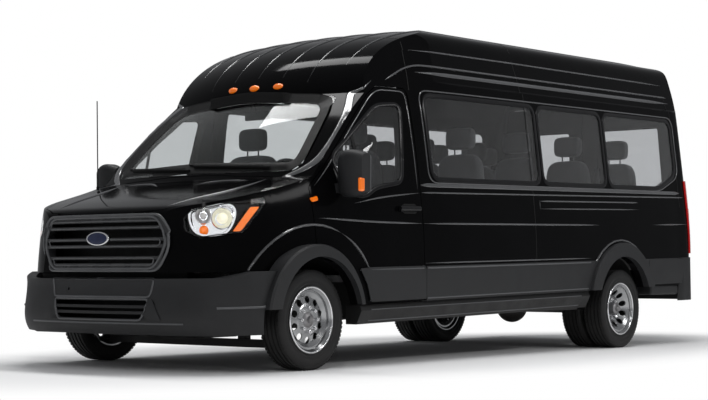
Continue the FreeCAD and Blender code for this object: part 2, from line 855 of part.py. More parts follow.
def front_bumper():
    shape = bumper_form(0).cut(bumper_form(S.bumper_wall))
    shape = shape.cut(slab(-FAR, AXLE_FRONT + 380, -1500, 1500, 0, 3000))
    top = side_prism([(300, S.bumper_top + 38), (560, S.bumper_top + 38), (720, S.bumper_top),
                      (1200, S.bumper_top), (1200, 1200), (300, 1200)], -1500, 1500)
    shape = shape.cut(top)
    for side, sign in SIDES:
        shape = shape.cut(on_side(arch(S.flare_radius + S.seat_gap, AXLE_FRONT + S.flare_shift, S.tyre_radius),
                                  sign))
    wide = S.intake_half + S.intake_flare
    intake = front_prism([(-S.intake_half, S.intake_bottom), (-wide, S.intake_top),
                          (wide, S.intake_top), (S.intake_half, S.intake_bottom)],
                         AXLE_FRONT + 400, AXLE_FRONT + 1200, radius=25)
    bars = []
    for index in (1, 2):
        height = S.intake_bottom + (S.intake_top - S.intake_bottom) * index / 3
        band = slab(AXLE_FRONT + 500, FAR, -700, 700, height - 9, height + 9)
        bars.append(shape.common(band).common(intake))
    shape = shape.cut(intake).multiFuse(bars)
    mouth = V(AXLE_FRONT + S.socket_face, -S.socket_y, S.socket_height)
    recess = Part.makeCylinder(S.socket_cap_radius, S.bumper_wall, mouth, V(1, 0, 0))
    bore = Part.makeCylinder(S.socket_radius, S.socket_depth, mouth, V(-1, 0, 0))
    node("bumper_front", shaped("bumper_front_shell", piece_of(shape.cut(recess).cut(bore))))


front_bumper()

# cladding, rockers and flares

def cladding():
    """The raised strips low on the sides, ahead of and behind the rear wheel."""
    seam = AXLE_FRONT + S.door_rear_x - 2 * g
    ahead = slab(AXLE_REAR, seam, 500, 1500, S.shell_bottom, S.cladding_top).cut(FLARE_REAR)
    behind = slab(TAIL + 306, AXLE_REAR, 500, 1500, S.shell_bottom + 60, S.cladding_top).cut(FLARE_REAR)
    strips = [piece_of(CLAD_SKIN.common(zone)) for zone in (ahead, behind)]
    for side, sign in SIDES:
        both = Part.makeCompound([on_side(strip, sign) for strip in strips])
        node(f"cladding_{side}", shaped(f"cladding_strips_{side}", both))


def flare(outer, inner, x, shift, z, depth):
    """A chamfered ring round a wheel opening, standing proud of the side."""
    face = HALF_WIDTH + depth
    ring = arch(outer, x + shift, z, HALF_WIDTH - 80, face)
    rim = [edge for edge in ring.Edges if edge.BoundBox.YMin > face - 1]
    ring = ring.makeChamfer(12, rim).cut(arch(inner, x, z))
    return piece_of(ring.cut(slab(-FAR, FAR, 0, 1500, -900, S.shell_bottom)).cut(OUTER))


def flares():
    rings = [
        flare(S.flare_radius, S.arch_radius, AXLE_FRONT, S.flare_shift, S.tyre_radius, S.flare_depth),
        flare(S.rear_flare_radius, S.rear_arch_radius, AXLE_REAR, 0, REAR_AXLE_HEIGHT, S.rear_flare_depth),
    ]
    for side, sign in SIDES:
        both = Part.makeCompound([on_side(ring, sign) for ring in rings])
        node(f"flares_{side}", shaped(f"flare_rings_{side}", both))


cladding()
flares()


def rocker(side, sign):
    x_from = AXLE_REAR + S.rear_arch_radius + 60
    x_to = AXLE_FRONT - S.arch_radius - 40
    top = S.shell_bottom - g
    shape = Part.Face(Part.makePolygon([
        V(x_from, HALF_WIDTH - 30, top), V(x_from, HALF_WIDTH - 14, top - 40),
        V(x_from, HALF_WIDTH - 60, S.rocker_bottom), V(x_from, HALF_WIDTH - 60 - S.rocker_width, S.rocker_bottom),
        V(x_from, HALF_WIDTH - 60 - S.rocker_width, top), V(x_from, HALF_WIDTH - 30, top),
    ])).extrude(V(x_to - x_from, 0, 0))
    ledge = slab(x_from, AXLE_FRONT + S.door_rear_x - g, HALF_WIDTH - S.side_wall + 5, HALF_WIDTH - 30,
                 top - 1, S.shell_bottom - S.seat_gap)
    return shaped(f"rocker_beam_{side}", on_side(shape.fuse(ledge), sign))


node("rockers", *[rocker(side, sign) for side, sign in SIDES])

# rear bumper and tail lamps

def rear_bumper():
    """A bumper that wraps the tail's corners."""
    half = HALF_WIDTH + 12
    rear = -S.length_overall / 2
    outline = [(TAIL + 330, -half), (TAIL + 60, -half), (rear + 15, 122 - half), (rear, 0),
               (rear + 15, half - 122), (TAIL + 60, half), (TAIL + 330, half)]
    face = Part.Face(rounded([(x, y, 0) for x, y in outline], 120))
    inner = Part.Face(face.makeOffset2D(-70).Wires[0]).extrude(V(0, 0, 3000))
    band = slab(-FAR, TAIL + 300, 0, 1500, S.rocker_bottom, S.rocker_bottom + S.rear_bumper_height)
    shape = face.extrude(V(0, 0, 3000)).cut(inner).common(band).cut(OUTER)
    node("bumper_rear", shaped("bumper_rear_shell", whole(piece_of(shape))))


rear_bumper()


def tail_lamps():
    rear = TAIL - AXLE_FRONT
    band = side_prism([(rear - 100, S.tail_lamp_bottom), (rear - 100, S.tail_lamp_top),
                       (rear + 95, S.tail_lamp_top), (rear + 75, S.tail_lamp_bottom)], 935, 1400)
    lens = piece_of(CLAD_SKIN.common(band))
    node("tail_lamps", *[shaped(f"tail_lens_{side}", on_side(lens, sign)) for side, sign in SIDES])


tail_lamps()


# roof marker lamps

def marker_lamps():
    form = whole(OUTER)
    lamps = []
    for index in (-1, 0, 1):
        y = index * S.marker_spacing
        block = Part.makeSphere(46, V(0, 0, 0))
        grid = FreeCAD.Matrix()
        grid.scale(0.55, 1.0, 0.55)
        block = block.transformGeometry(grid)
        x = AXLE_FRONT + S.screen_top_x - 34 - abs(index) * 12
        block.translate(V(x, y, S.screen_top_height + 76))
        lamps.append(shaped(f"marker_{index + 2}", piece_of(block.cut(form), 100)))
    node("roof_marker_lamps", *lamps)


marker_lamps()

# mast

def aerial():
    """A thin mast on a round foot that stands on the right fender."""
    across, below = -S.mast_y, S.shell_bottom
    column = Part.makeCylinder(S.mast_foot_radius, S.roof_height, V(AXLE_FRONT + S.mast_x, across, below), UP)
    seat = mirrored(OUTER).common(column).BoundBox.ZMax + S.running_clearance
    foot = Part.makeCylinder(S.mast_foot_radius, S.mast_foot_height, V(AXLE_FRONT + S.mast_x, across, seat), UP)
    mast = Part.makeCylinder(S.mast_radius, S.mast_height, V(AXLE_FRONT + S.mast_x, across, seat), UP)
    node("aerial_mast", shaped("mast_rod", foot.fuse(mast)))


aerial()

# floor, bulkhead and wheel houses

def floor():
    """The floor pan with the bulkhead at its front and a housing over each rear wheel."""
    top = S.floor_top
    step = AXLE_FRONT + S.door_rear_x - 2 * g
    pan = slab(TAIL + S.tail_wall + 40, step, 0, 1400, top - S.floor_thickness, top).common(INNER)
    ahead = slab(step - 1, AXLE_FRONT - 64, 0, S.footwell_half, top - S.floor_thickness, top)
    bulkhead = slab(AXLE_FRONT - 104, AXLE_FRONT - 64, 0, S.bulkhead_half, top - S.floor_thickness,
                    S.bulkhead_top)
    house = arch(S.rear_arch_radius + 24, AXLE_REAR, REAR_AXLE_HEIGHT, 640, 1400)
    house = house.common(slab(-FAR, FAR, 0, 1500, top - S.floor_thickness, 3000))
    shape = pan.multiFuse([ahead, bulkhead, house.common(INNER)])
    shape = shape.cut(arch(S.rear_arch_radius + 6, AXLE_REAR, REAR_AXLE_HEIGHT, 658, 1400))
    shape = shape.cut(arch(S.arch_radius + 6, AXLE_FRONT, S.tyre_radius, 500, 1400))
    node("floor", shaped("floor_pan", whole(piece_of(shape))))


floor()

# frame rails and cross members

rails = []
for side, sign in SIDES:
    y = "rail_half" if sign > 0 else "-rail_half - rail_width"
    rails.append(box(f"rail_{side}", "length_overall - 600", "rail_width", "rail_height",
                     "-length_overall / 2 + 250", y, "rail_top - rail_height"))
members = []
for index, place_x in enumerate(("-length_overall / 2 + 300", REAR + " + 700", "0", FRONT + " - 620",
                                 FRONT + " + 480")):
    members.append(box(f"cross_member_{index}", "80", "2 * (rail_half - running_clearance)", "rail_height - 2 * member_drop",
                       place_x, "running_clearance - rail_half", "rail_top - rail_height + member_drop"))
for side, sign in SIDES:
    inner = "rail_half + rail_width + running_clearance"
    outer = "kingpin_y + 40"
    members.append(box(f"tower_web_{side}", "120", "40", "strut_top - rail_top + rail_height", FRONT + " - 60",
                       inner if sign > 0 else f"-({inner}) - 40", "rail_top - rail_height"))
    members.append(box(f"tower_top_{side}", "120", f"{outer} - ({inner})", "16", FRONT + " - 60",
                       inner if sign > 0 else f"-({outer})", "strut_top + running_clearance"))
node("frame_rails", *rails, *members)

engine = box("engine_block", "600", "560", "420", FRONT + " + 80", "-280",
             "rail_top - member_drop + seat_gap")
node("engine", engine)
tank = box("tank_block", "900", "320", "250", FRONT + " - 2100", "-rail_half + seat_gap", "rail_top - 330")
node("fuel_tank", tank)

# rear axle, in the level ground frame

def rear_axle():
    a = REAR
    tube = rod("axle_tube", "axle_tube_radius", "track_rear - dual_spacing - 190", a,
               "-(track_rear - dual_spacing - 190) / 2", "tyre_radius", along="y")
    case = doc.addObject("Part::Sphere", "axle_case")
    bind(case, Radius="axle_tube_radius * 3.2")
    case.Placement = FreeCAD.Placement(V(0, 0, 0), FreeCAD.Rotation(V(1, 0, 0), 90))
    place(case, a, "0", "tyre_radius")
    pieces = [tube, case]
    for side, sign in SIDES:
        reach = "(track_rear + dual_spacing) / 2"
        pieces.append(rod(f"axle_stub_{side}", "hub_bore_radius - running_clearance", reach, a,
                          "0" if sign > 0 else f"-({reach})", "tyre_radius", along="y"))
    node("rear_axle", *pieces, placement=LEVEL, fuse=True)
    leaves = []
    for side, sign in SIDES:
        y = "spring_half - spring_width / 2" if sign > 0 else "-spring_half - spring_width / 2"
        leaves.append(box(f"leaf_{side}", "spring_length", "spring_width", "34",
                          a + " - spring_length / 2", y, "tyre_radius + axle_tube_radius"))
        for end, x in (("front", a + " + spring_length / 2 - 60"), ("rear", a + " - spring_length / 2")):
            reach = "spring_half + spring_width / 2 - rail_half - rail_width - running_clearance"
            start = "rail_half + rail_width + running_clearance"
            leaves.append(box(f"hanger_{end}_{side}", "60", reach, "190", x,
                              start if sign > 0 else f"-({start}) - ({reach})",
                              "tyre_radius + axle_tube_radius"))
    node("leaf_springs", *leaves, placement=LEVEL, fuse=True)


rear_axle()

# front suspension: cross tube, arms and struts on the body side of the steering axis

def front_suspension():
    pieces = []
    arms = box("arm_beam", "90", "2 * kingpin_y + 60", "50", FRONT + " - 45", "-kingpin_y - 30",
               "tyre_radius - 190")
    pieces.append(arms)
    for side, sign in SIDES:
        y = "kingpin_y" if sign > 0 else "-kingpin_y"
        pieces.append(box(f"arm_riser_{side}", "40", "80", "rail_top - tyre_radius + 190 - rail_height - 0.8",
                          FRONT + " - 20", "rail_half - 10" if sign > 0 else "-rail_half - 70",
                          "tyre_radius - 190"))
    node("front_arms", *pieces, placement=LEVEL, fuse=True)
    struts = []
    for side, sign in SIDES:
        y = "kingpin_y" if sign > 0 else "-kingpin_y"
        struts.append(rod(f"strut_{side}", "28", "strut_top - tyre_radius - 151.6", FRONT, y,
                          "tyre_radius + 150"))
    node("struts", *struts, placement=LEVEL)


front_suspension()


def knuckle(side, sign):
    y = "kingpin_y" if sign > 0 else "-kingpin_y"
    post = rod(f"knuckle_post_{side}", "27", "290 - 2 * running_clearance", FRONT, y, "tyre_radius - 140 + running_clearance")
    reach = "track_front / 2 + stub_reach - kingpin_y"
    stub = rod(f"knuckle_stub_{side}", "hub_bore_radius - running_clearance", reach, FRONT,
               "kingpin_y" if sign > 0 else f"-kingpin_y - ({reach})", "tyre_radius", along="y")
    arm = box(f"knuckle_arm_{side}", "130", "30", "36", FRONT + " - 140",
              "kingpin_y - 15" if sign > 0 else "-kingpin_y - 15", "tyre_radius - 60")
    node(f"knuckle_{side}", post, stub, arm, placement=LEVEL, fuse=True)


for side, sign in SIDES:
    knuckle(side, sign)

# wheels

def sketch_on(body, plane, name):
    sketch = body.newObject("Sketcher::SketchObject", name)
    origin = next(item for item in body.Origin.OriginFeatures if item.Role == plane)
    sketch.AttachmentSupport = [(origin, "")]
    sketch.MapMode = "FlatFace"
    return sketch


def profile(sketch, points):
    """Draws a closed outline whose corners are each held by two driven distances."""
    import Sketcher
    values = [(float(evaluate(u)), float(evaluate(v))) for u, v in points]
    count = len(points)
    for index in range(count):
        start = V(*values[index], 0)
        end = V(*values[(index + 1) % count], 0)
        sketch.addGeometry(Part.LineSegment(start, end))
    for index in range(count):
        sketch.addConstraint(Sketcher.Constraint("Coincident", index, 2, (index + 1) % count, 1))
    for index, (u, v) in enumerate(points):
        for axis, formula, value in (("DistanceX", u, values[index][0]), ("DistanceY", v, values[index][1])):
            number = sketch.addConstraint(Sketcher.Constraint(axis, -1, 1, index, 1, value))
            sketch.setExpression(f"Constraints[{number}]", expression(formula))


def evaluate(formula):
    return doc.evalExpression(expression(formula)) if hasattr(doc, "evalExpression") else sheet.evalExpression(
        expression(formula))


def revolve_about_axle(body, sketch, name):
    feature = body.newObject("PartDesign::Revolution", name)
    feature.Profile = sketch
    feature.ReferenceAxis = (sketch, ["H_Axis"])
    feature.Angle = 360
    return feature


def tyre_body(name):
    body = doc.addObject("PartDesign::Body", name)
    sketch = sketch_on(body, "YZ_Plane", name + "_section")
    profile(sketch, [
        ("-rim_width / 2 + 4", "bead_radius"),
        ("-rim_width / 2 + 4", "flange_radius + 6"),
        ("-tyre_width / 2", "flange_radius + 50"),
        ("-tyre_width / 2 + 6", "tyre_radius - 26"),
        ("-tyre_width / 2 + 26", "tyre_radius - 4"),
        ("-tyre_width / 2 + 60", "tyre_radius"),
        ("tyre_width / 2 - 60", "tyre_radius"),
        ("tyre_width / 2 - 26", "tyre_radius - 4"),
        ("tyre_width / 2 - 6", "tyre_radius - 26"),
        ("tyre_width / 2", "flange_radius + 50"),
        ("rim_width / 2 - 4", "flange_radius + 6"),
        ("rim_width / 2 - 4", "bead_radius"),
    ])
    revolve_about_axle(body, sketch, name + "_ring")
    return body


def rim_body(name, disc_y, dish):
    """A steel wheel: barrel with flanges and a pierced disc; disc_y and dish are formulas."""
    import Sketcher
    body = doc.addObject("PartDesign::Body", name)
    sketch = sketch_on(body, "YZ_Plane", name + "_section")
    profile(sketch, [
        ("-rim_width / 2 - 4", "flange_radius - 10"),
        ("-rim_width / 2 - 4", "flange_radius"),
        ("-rim_width / 2 + 4", "flange_radius"),
        ("-rim_width / 2 + 4", "bead_radius"),
        ("rim_width / 2 - 4", "bead_radius"),
        ("rim_width / 2 - 4", "flange_radius"),
        ("rim_width / 2 + 4", "flange_radius"),
        ("rim_width / 2 + 4", "flange_radius - 10"),
        ("rim_width / 2 - 12", "bead_radius - rim_wall"),
        (f"{disc_y} + 26", "bead_radius - rim_wall"),
        (f"{disc_y} + 26", "bead_radius - rim_wall - 14"),
        (f"{disc_y} + 8", "bead_radius - rim_wall - 42"),
        (f"{disc_y} + 8 + ({dish}) * 0.7", "hand_hole_circle - 24"),
        (f"{disc_y} + 8 + ({dish})", "bolt_circle + 18"),
        (f"{disc_y} + 8 + ({dish})", "hub_bore_radius"),
        (f"{disc_y} + ({dish})", "hub_bore_radius"),
        (f"{disc_y} + ({dish})", "bolt_circle + 18"),
        (f"{disc_y} + ({dish}) * 0.7", "hand_hole_circle - 24"),
        (f"{disc_y}", "bead_radius - rim_wall - 42"),
        (f"{disc_y} + 8", "bead_radius - rim_wall - 14"),
        (f"{disc_y} + 8", "bead_radius - rim_wall"),
        ("-rim_width / 2 + 12", "bead_radius - rim_wall"),
    ])
    revolve_about_axle(body, sketch, name + "_turned")
    doc.recompute()
    hole = sketch_on(body, "XZ_Plane", name + "_hole")
    circle = hole.addGeometry(Part.Circle(V(0, S.hand_hole_circle, 0), UP, S.hand_hole_radius))
    hole.addConstraint(Sketcher.Constraint("PointOnObject", circle, 3, -2))
    number = hole.addConstraint(Sketcher.Constraint("DistanceY", -1, 1, circle, 3, S.hand_hole_circle))
    hole.setExpression(f"Constraints[{number}]", expression("hand_hole_circle"))
    number = hole.addConstraint(Sketcher.Constraint("Radius", circle, S.hand_hole_radius))
    hole.setExpression(f"Constraints[{number}]", expression("hand_hole_radius"))
    pocket = body.newObject("PartDesign::Pocket", name + "_pierced")
    pocket.Profile = hole
    pocket.Type = 1
    pocket.Midplane = True
    doc.recompute()
    pattern = body.newObject("PartDesign::PolarPattern", name + "_pattern")
    pattern.Originals = [pocket]
    axis = next(item for item in body.Origin.OriginFeatures if item.Role == "Y_Axis")
    pattern.Axis = (axis, [""])
    pattern.Angle = 360
    pattern.setExpression("Occurrences", expression("hand_holes"))
    body.Tip = pattern
    return body


def copied(name, source, x, y, turned):
    """A placed copy of a wheel piece; turned swaps its inner and outer faces."""
    item = doc.addObject("Part::Compound", name)
    item.Links = [source]
    angle = 180 if turned else 0
    item.Placement = FreeCAD.Placement(V(0, 0, 0), FreeCAD.Rotation(UP, angle))
    return place(item, x, y, "tyre_radius")


TYRE = tyre_body("tyre_master")
RIM_FRONT = rim_body("rim_front_master", "rim_width / 2 - 46", "14")
RIM_REAR = rim_body("rim_rear_master", "rim_width / 2 - 40", "-60")
doc.recompute()

for side, sign in SIDES:
    y = "track_front / 2" if sign > 0 else "-track_front / 2"
    turned = sign < 0
    node(f"tyre_front_{side}", copied(f"tyre_f_{side}", TYRE, FRONT, y, turned), placement=LEVEL)
    node(f"rim_front_{side}", copied(f"rim_f_{side}", RIM_FRONT, FRONT, y, turned), placement=LEVEL)
    outer = "track_rear / 2 + dual_spacing / 2" if sign > 0 else "-track_rear / 2 - dual_spacing / 2"
    inner = "track_rear / 2 - dual_spacing / 2" if sign > 0 else "-track_rear / 2 + dual_spacing / 2"
    node(f"tyres_rear_{side}",
         copied(f"tyre_ro_{side}", TYRE, REAR, outer, turned),
         copied(f"tyre_ri_{side}", TYRE, REAR, inner, not turned), placement=LEVEL)
    node(f"rims_rear_{side}",
         copied(f"rim_ro_{side}", RIM_REAR, REAR, outer, turned),
         copied(f"rim_ri_{side}", RIM_REAR, REAR, inner, not turned), placement=LEVEL)

# cabin

def seat_shape(x, y, width):
    """A seat whose backrest leans back; x is the front edge of the cushion."""
    base = S.floor_top + 250
    outline = [
        (x, base), (x + 6, S.cushion_height), (x - 430, S.cushion_height - 25),
        (x - 560, S.backrest_height), (x - 650, S.backrest_height), (x - 540, base),
    ]
    points = [(px, y - width / 2, pz) for px, pz in outline]
    return Part.Face(rounded(points, 35)).extrude(V(0, width, 0))


def seats():
    items = []
    front_x = AXLE_FRONT - 560
    for y in (-480, 480):
        items.append(shaped(f"front_seat_{len(items)}", seat_shape(front_x, y, 500)))
    for row in range(int(S.seat_rows)):
        x = AXLE_FRONT - 1750 - row * S.seat_pitch
        for y in (-720, -300, 660):
            items.append(shaped(f"row_seat_{len(items)}", seat_shape(x, y, S.seat_width)))
    node("seats", *items)
    legs = []
    for item in items:
        bounds = item.Shape.BoundBox
        y_mid = (bounds.YMin + bounds.YMax) / 2
        leg = slab(bounds.XMax - 420, bounds.XMax - 120, y_mid - 90, y_mid + 90,
                   S.floor_top + 0.3, S.floor_top + 249.7)
        legs.append(leg.cut(arch(S.rear_arch_radius + 24.3, AXLE_REAR, REAR_AXLE_HEIGHT, -1400, 1400)))
    node("seat_pedestals", shaped("pedestals", Part.makeCompound(legs)))


seats()


def dashboard():
    outline = [(-104.3, 1190), (-330, 1180), (-420, 1110), (-400, 940), (-300, 820), (-104.3, 800)]
    half = side_prism(outline, 0, 1300, radius=30).common(CABIN)
    node("dashboard", shaped("dashboard_block", whole(piece_of(half))))
    hub = V(AXLE_FRONT - 480, 480, 1235)
    along = V(0.85, 0, -0.53)
    ring = Part.makeTorus(185, 15, hub, along)
    column = Part.makeCylinder(26, 230, hub, along)
    boss = Part.makeCylinder(55, 30, hub, along)
    spokes = Part.makeCylinder(13, 360, hub.sub(V(0, 180, 0)), V(0, 1, 0))
    shape = ring.multiFuse([column, boss, spokes]).cut(side_prism(outline, -1300, 1300, radius=30))
    node("steering_wheel", shaped("steering_wheel_rim", piece_of(shape)))


dashboard()

doc.recompute()

for item in doc.Objects:
    problems = [state for state in item.State if state in ("Invalid", "Error")]
    if problems:
        raise RuntimeError(f"{item.Label} is {problems}")
for item in nodes:
    if item.Shape.isNull() or not item.Shape.isValid():
        raise RuntimeError(f"{item.Label} has no valid shape")

os.makedirs("parts", exist_ok=True)
for item in nodes:
    item.Shape.exportStep(f"parts/{item.Label}.step")
print(len(nodes), "sub-parts written")
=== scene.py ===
"""High-roof minibus in gloss black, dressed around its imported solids.

Everything is in metres: +X forward, +Y to the vehicle's left, +Z up, origin on the ground. Outlines on the
body are typed in millimetres ahead of the front axle, left of the centre and above the ground, on a body
that stands level; mm() moves them to the raked body.
"""
from __future__ import annotations

import json
import logging
import math
from contextlib import contextmanager
from dataclasses import dataclass
from enum import Enum
from typing import Any, Iterable, Iterator, Sequence

import bmesh
import bpy
from mathutils import Matrix, Vector
from mathutils.bvhtree import BVHTree

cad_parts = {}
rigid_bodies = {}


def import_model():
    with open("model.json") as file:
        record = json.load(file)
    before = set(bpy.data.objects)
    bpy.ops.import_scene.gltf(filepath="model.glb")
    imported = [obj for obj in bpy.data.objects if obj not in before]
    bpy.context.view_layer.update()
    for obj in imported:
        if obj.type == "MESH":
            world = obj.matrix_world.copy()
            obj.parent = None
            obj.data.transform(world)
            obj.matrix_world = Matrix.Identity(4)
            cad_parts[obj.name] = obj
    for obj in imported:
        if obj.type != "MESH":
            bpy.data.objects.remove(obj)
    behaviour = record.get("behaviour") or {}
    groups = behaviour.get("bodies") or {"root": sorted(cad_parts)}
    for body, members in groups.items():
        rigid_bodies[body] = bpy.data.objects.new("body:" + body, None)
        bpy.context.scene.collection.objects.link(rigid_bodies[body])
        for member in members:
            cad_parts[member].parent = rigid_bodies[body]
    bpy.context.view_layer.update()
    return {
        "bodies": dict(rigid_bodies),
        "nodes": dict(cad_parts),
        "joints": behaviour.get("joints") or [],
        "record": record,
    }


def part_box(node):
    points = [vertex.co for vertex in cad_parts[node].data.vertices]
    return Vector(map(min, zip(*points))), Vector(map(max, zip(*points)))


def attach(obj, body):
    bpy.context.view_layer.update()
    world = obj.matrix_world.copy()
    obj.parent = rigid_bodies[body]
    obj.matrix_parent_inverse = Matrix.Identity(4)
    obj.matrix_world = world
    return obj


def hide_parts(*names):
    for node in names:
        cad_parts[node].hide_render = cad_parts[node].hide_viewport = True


LOG = logging.getLogger("minibus")

Pair = tuple[float, float]
Point = tuple[float, float, float]
Colour = tuple[float, float, float]
Piece = bpy.types.Object
Material = bpy.types.Material
Tree = bpy.types.NodeTree
Node = bpy.types.Node
Socket = bpy.types.NodeSocket

AXLE_FRONT = 2.21
AXLE_REAR = -1.74
TYRE_RADIUS = 0.326
RAKE = math.radians(1.2)
MIRRORED = Matrix.Scale(-1, 4, Vector((0, 1, 0)))


class Side(Enum):
    """The two sides of the vehicle, with the sign of y."""

    LEFT = 1
    RIGHT = -1

    @property
    def word(self) -> str:
        """The side's name as the nodes spell it."""
        return self.name.lower()


def on_body(point: Sequence[float]) -> Vector:
    """Moves a point of the level body frame to its raked place.

    Args:
        point: x, y and z before the body is tilted about the front axle.

    Returns:
        The point in the row frame.
    """
    x, y, z = point
    dx, dz = x - AXLE_FRONT, z - TYRE_RADIUS
    return Vector((AXLE_FRONT + dx * math.cos(RAKE) + dz * math.sin(RAKE), y,
                   TYRE_RADIUS - dx * math.sin(RAKE) + dz * math.cos(RAKE)))


def mm(dx: float, y: float, z: float) -> Vector:
    """The place of a point that is typed in millimetres."""
    return on_body((AXLE_FRONT + dx / 1000, y / 1000, z / 1000))


def traced(*points: Sequence[float]) -> list[Vector]:
    """The places of points in millimetres; a pair is a point seen from the side, with no y."""
    return [mm(point[0], point[1] if len(point) > 2 else 0, point[-1]) for point in points]


def arc(axle: float, radius: float, start: float, end: float, parts: int) -> list[Vector]:
    """Points round an axle, from one angle in degrees to another."""
    turns = [math.radians(start + (end - start) * k / parts) for k in range(parts + 1)]
    return [Vector((axle + radius * math.cos(t), 0, TYRE_RADIUS + radius * math.sin(t))) for t in turns]


# node trees


def feed(tree: Tree, target: Node, inputs: dict[str | int, Any]) -> None:
    """Feeds a node's inputs.

    Args:
        tree: the tree that holds the node.
        target: the node.
        inputs: each input's value, or the socket that is linked to it.
    """
    for key, value in inputs.items():
        if isinstance(value, Socket):
            tree.links.new(value, target.inputs[key])
        else:
            target.inputs[key].default_value = value


def add_node(tree: Tree, kind: str, inputs: dict[str | int, Any] | None = None, **settings: Any) -> Node:
    """Adds a shader node.

    Args:
        tree: the tree it joins.
        kind: its type, without the ShaderNode that starts every one.
        inputs: values of its inputs, or the sockets that feed them.
        settings: its properties, which are set before the inputs.

    Returns:
        The node.
    """
    node = tree.nodes.new(f"ShaderNode{kind}")
    for name, value in settings.items():
        setattr(node, name, value)
    feed(tree, node, inputs or {})
    return node


def start_group(name: str, result: str, **numbers: float) -> tuple[Tree, Node, Node]:
    """Starts a shader node group that takes a Vector and some numbers.

    Args:
        name: the group's name.
        result: the name of its one output.
        numbers: the default of each number.

    Returns:
        The tree, its input node and its output node.
    """
    tree = bpy.data.node_groups.new(name, "ShaderNodeTree")
    tree.interface.new_socket(name="Vector", in_out="INPUT", socket_type="NodeSocketVector")
    for title, default in numbers.items():
        socket = tree.interface.new_socket(name=title, in_out="INPUT", socket_type="NodeSocketFloat")
        socket.default_value = default
    tree.interface.new_socket(name=result, in_out="OUTPUT", socket_type="NodeSocketFloat")
    return tree, tree.nodes.new("NodeGroupInput"), tree.nodes.new("NodeGroupOutput")


def grain_group() -> Tree:
    """Moulded or cast grain: a fine height that feeds a Bump node.

    Returns:
        A group from Vector and Scale to Height.
    """
    tree, start, end = start_group("surface_grain", "Height", Scale=400)
    given = {"Vector": start.outputs["Vector"], "Scale": start.outputs["Scale"]}
    fine = add_node(tree, "TexNoise", {**given, "Detail": 3})
    cells = add_node(tree, "TexVoronoi", given)
    height = add_node(tree, "Math", {0: fine.outputs["Fac"], 1: cells.outputs["Distance"]}, operation="ADD")
    feed(tree, end, {"Height": height.outputs[0]})
    return tree


def drift_group() -> Tree:
    """Slow variation of tone over a surface, as age and handling leave it.

    Returns:
        A group from Vector, Scale, Low and High to Mask.
    """
    tree, start, end = start_group("tone_drift", "Mask", Scale=2, Low=0, High=1)
    given = start.outputs
    cloud = add_node(tree, "TexNoise", {"Vector": given["Vector"], "Scale": given["Scale"], "Detail": 4})
    spread = add_node(tree, "MapRange", {"Value": cloud.outputs["Fac"], "From Min": 0.3, "From Max": 0.7,
                                         "To Min": given["Low"], "To Max": given["High"]})
    feed(tree, end, {"Mask": spread.outputs["Result"]})
    return tree


def film_group() -> Tree:
    """A thin film of road dust that fades out with height.

    Returns:
        A group from Vector, Top and Amount to Mask.
    """
    tree, start, end = start_group("road_film", "Mask", Top=0.6, Amount=0.3)
    given = start.outputs
    split = add_node(tree, "SeparateXYZ", {"Vector": given["Vector"]})
    fade = add_node(tree, "MapRange", {"Value": split.outputs["Z"], "From Min": given["Top"],
                                       "From Max": 0.05, "To Min": 0.0, "To Max": given["Amount"]})
    cloud = add_node(tree, "TexNoise", {"Vector": given["Vector"], "Scale": 14, "Detail": 5})
    mask = add_node(tree, "Math", {0: fade.outputs["Result"], 1: cloud.outputs["Fac"]}, operation="MULTIPLY")
    feed(tree, end, {"Mask": mask.outputs[0]})
    return tree


class Groups:
    """The shared node groups, each built once."""

    def __init__(self) -> None:
        """Builds all three groups."""
        self.grain = grain_group()
        self.drift = drift_group()
        self.film = film_group()


# finishes

DUST = (0.22, 0.20, 0.18)
GLASS_DRIFT = {"Scale": 6, "Low": 0.0, "High": 0.02}
BUMP_STRENGTH = 0.6


def rgba(colour: Colour) -> tuple[float, float, float, float]:
    """The colour with full alpha."""
    return (*colour, 1.0)


def new_material(name: str) -> tuple[Material, Node, Socket]:
    """Starts a material.

    Args:
        name: the material's name.

    Returns:
        The material, its shader and its Object coordinates.
    """
    material = bpy.data.materials.new(name)
    material.use_nodes = True
    nodes = material.node_tree.nodes
    return material, nodes["Principled BSDF"], nodes.new("ShaderNodeTexCoord").outputs["Object"]


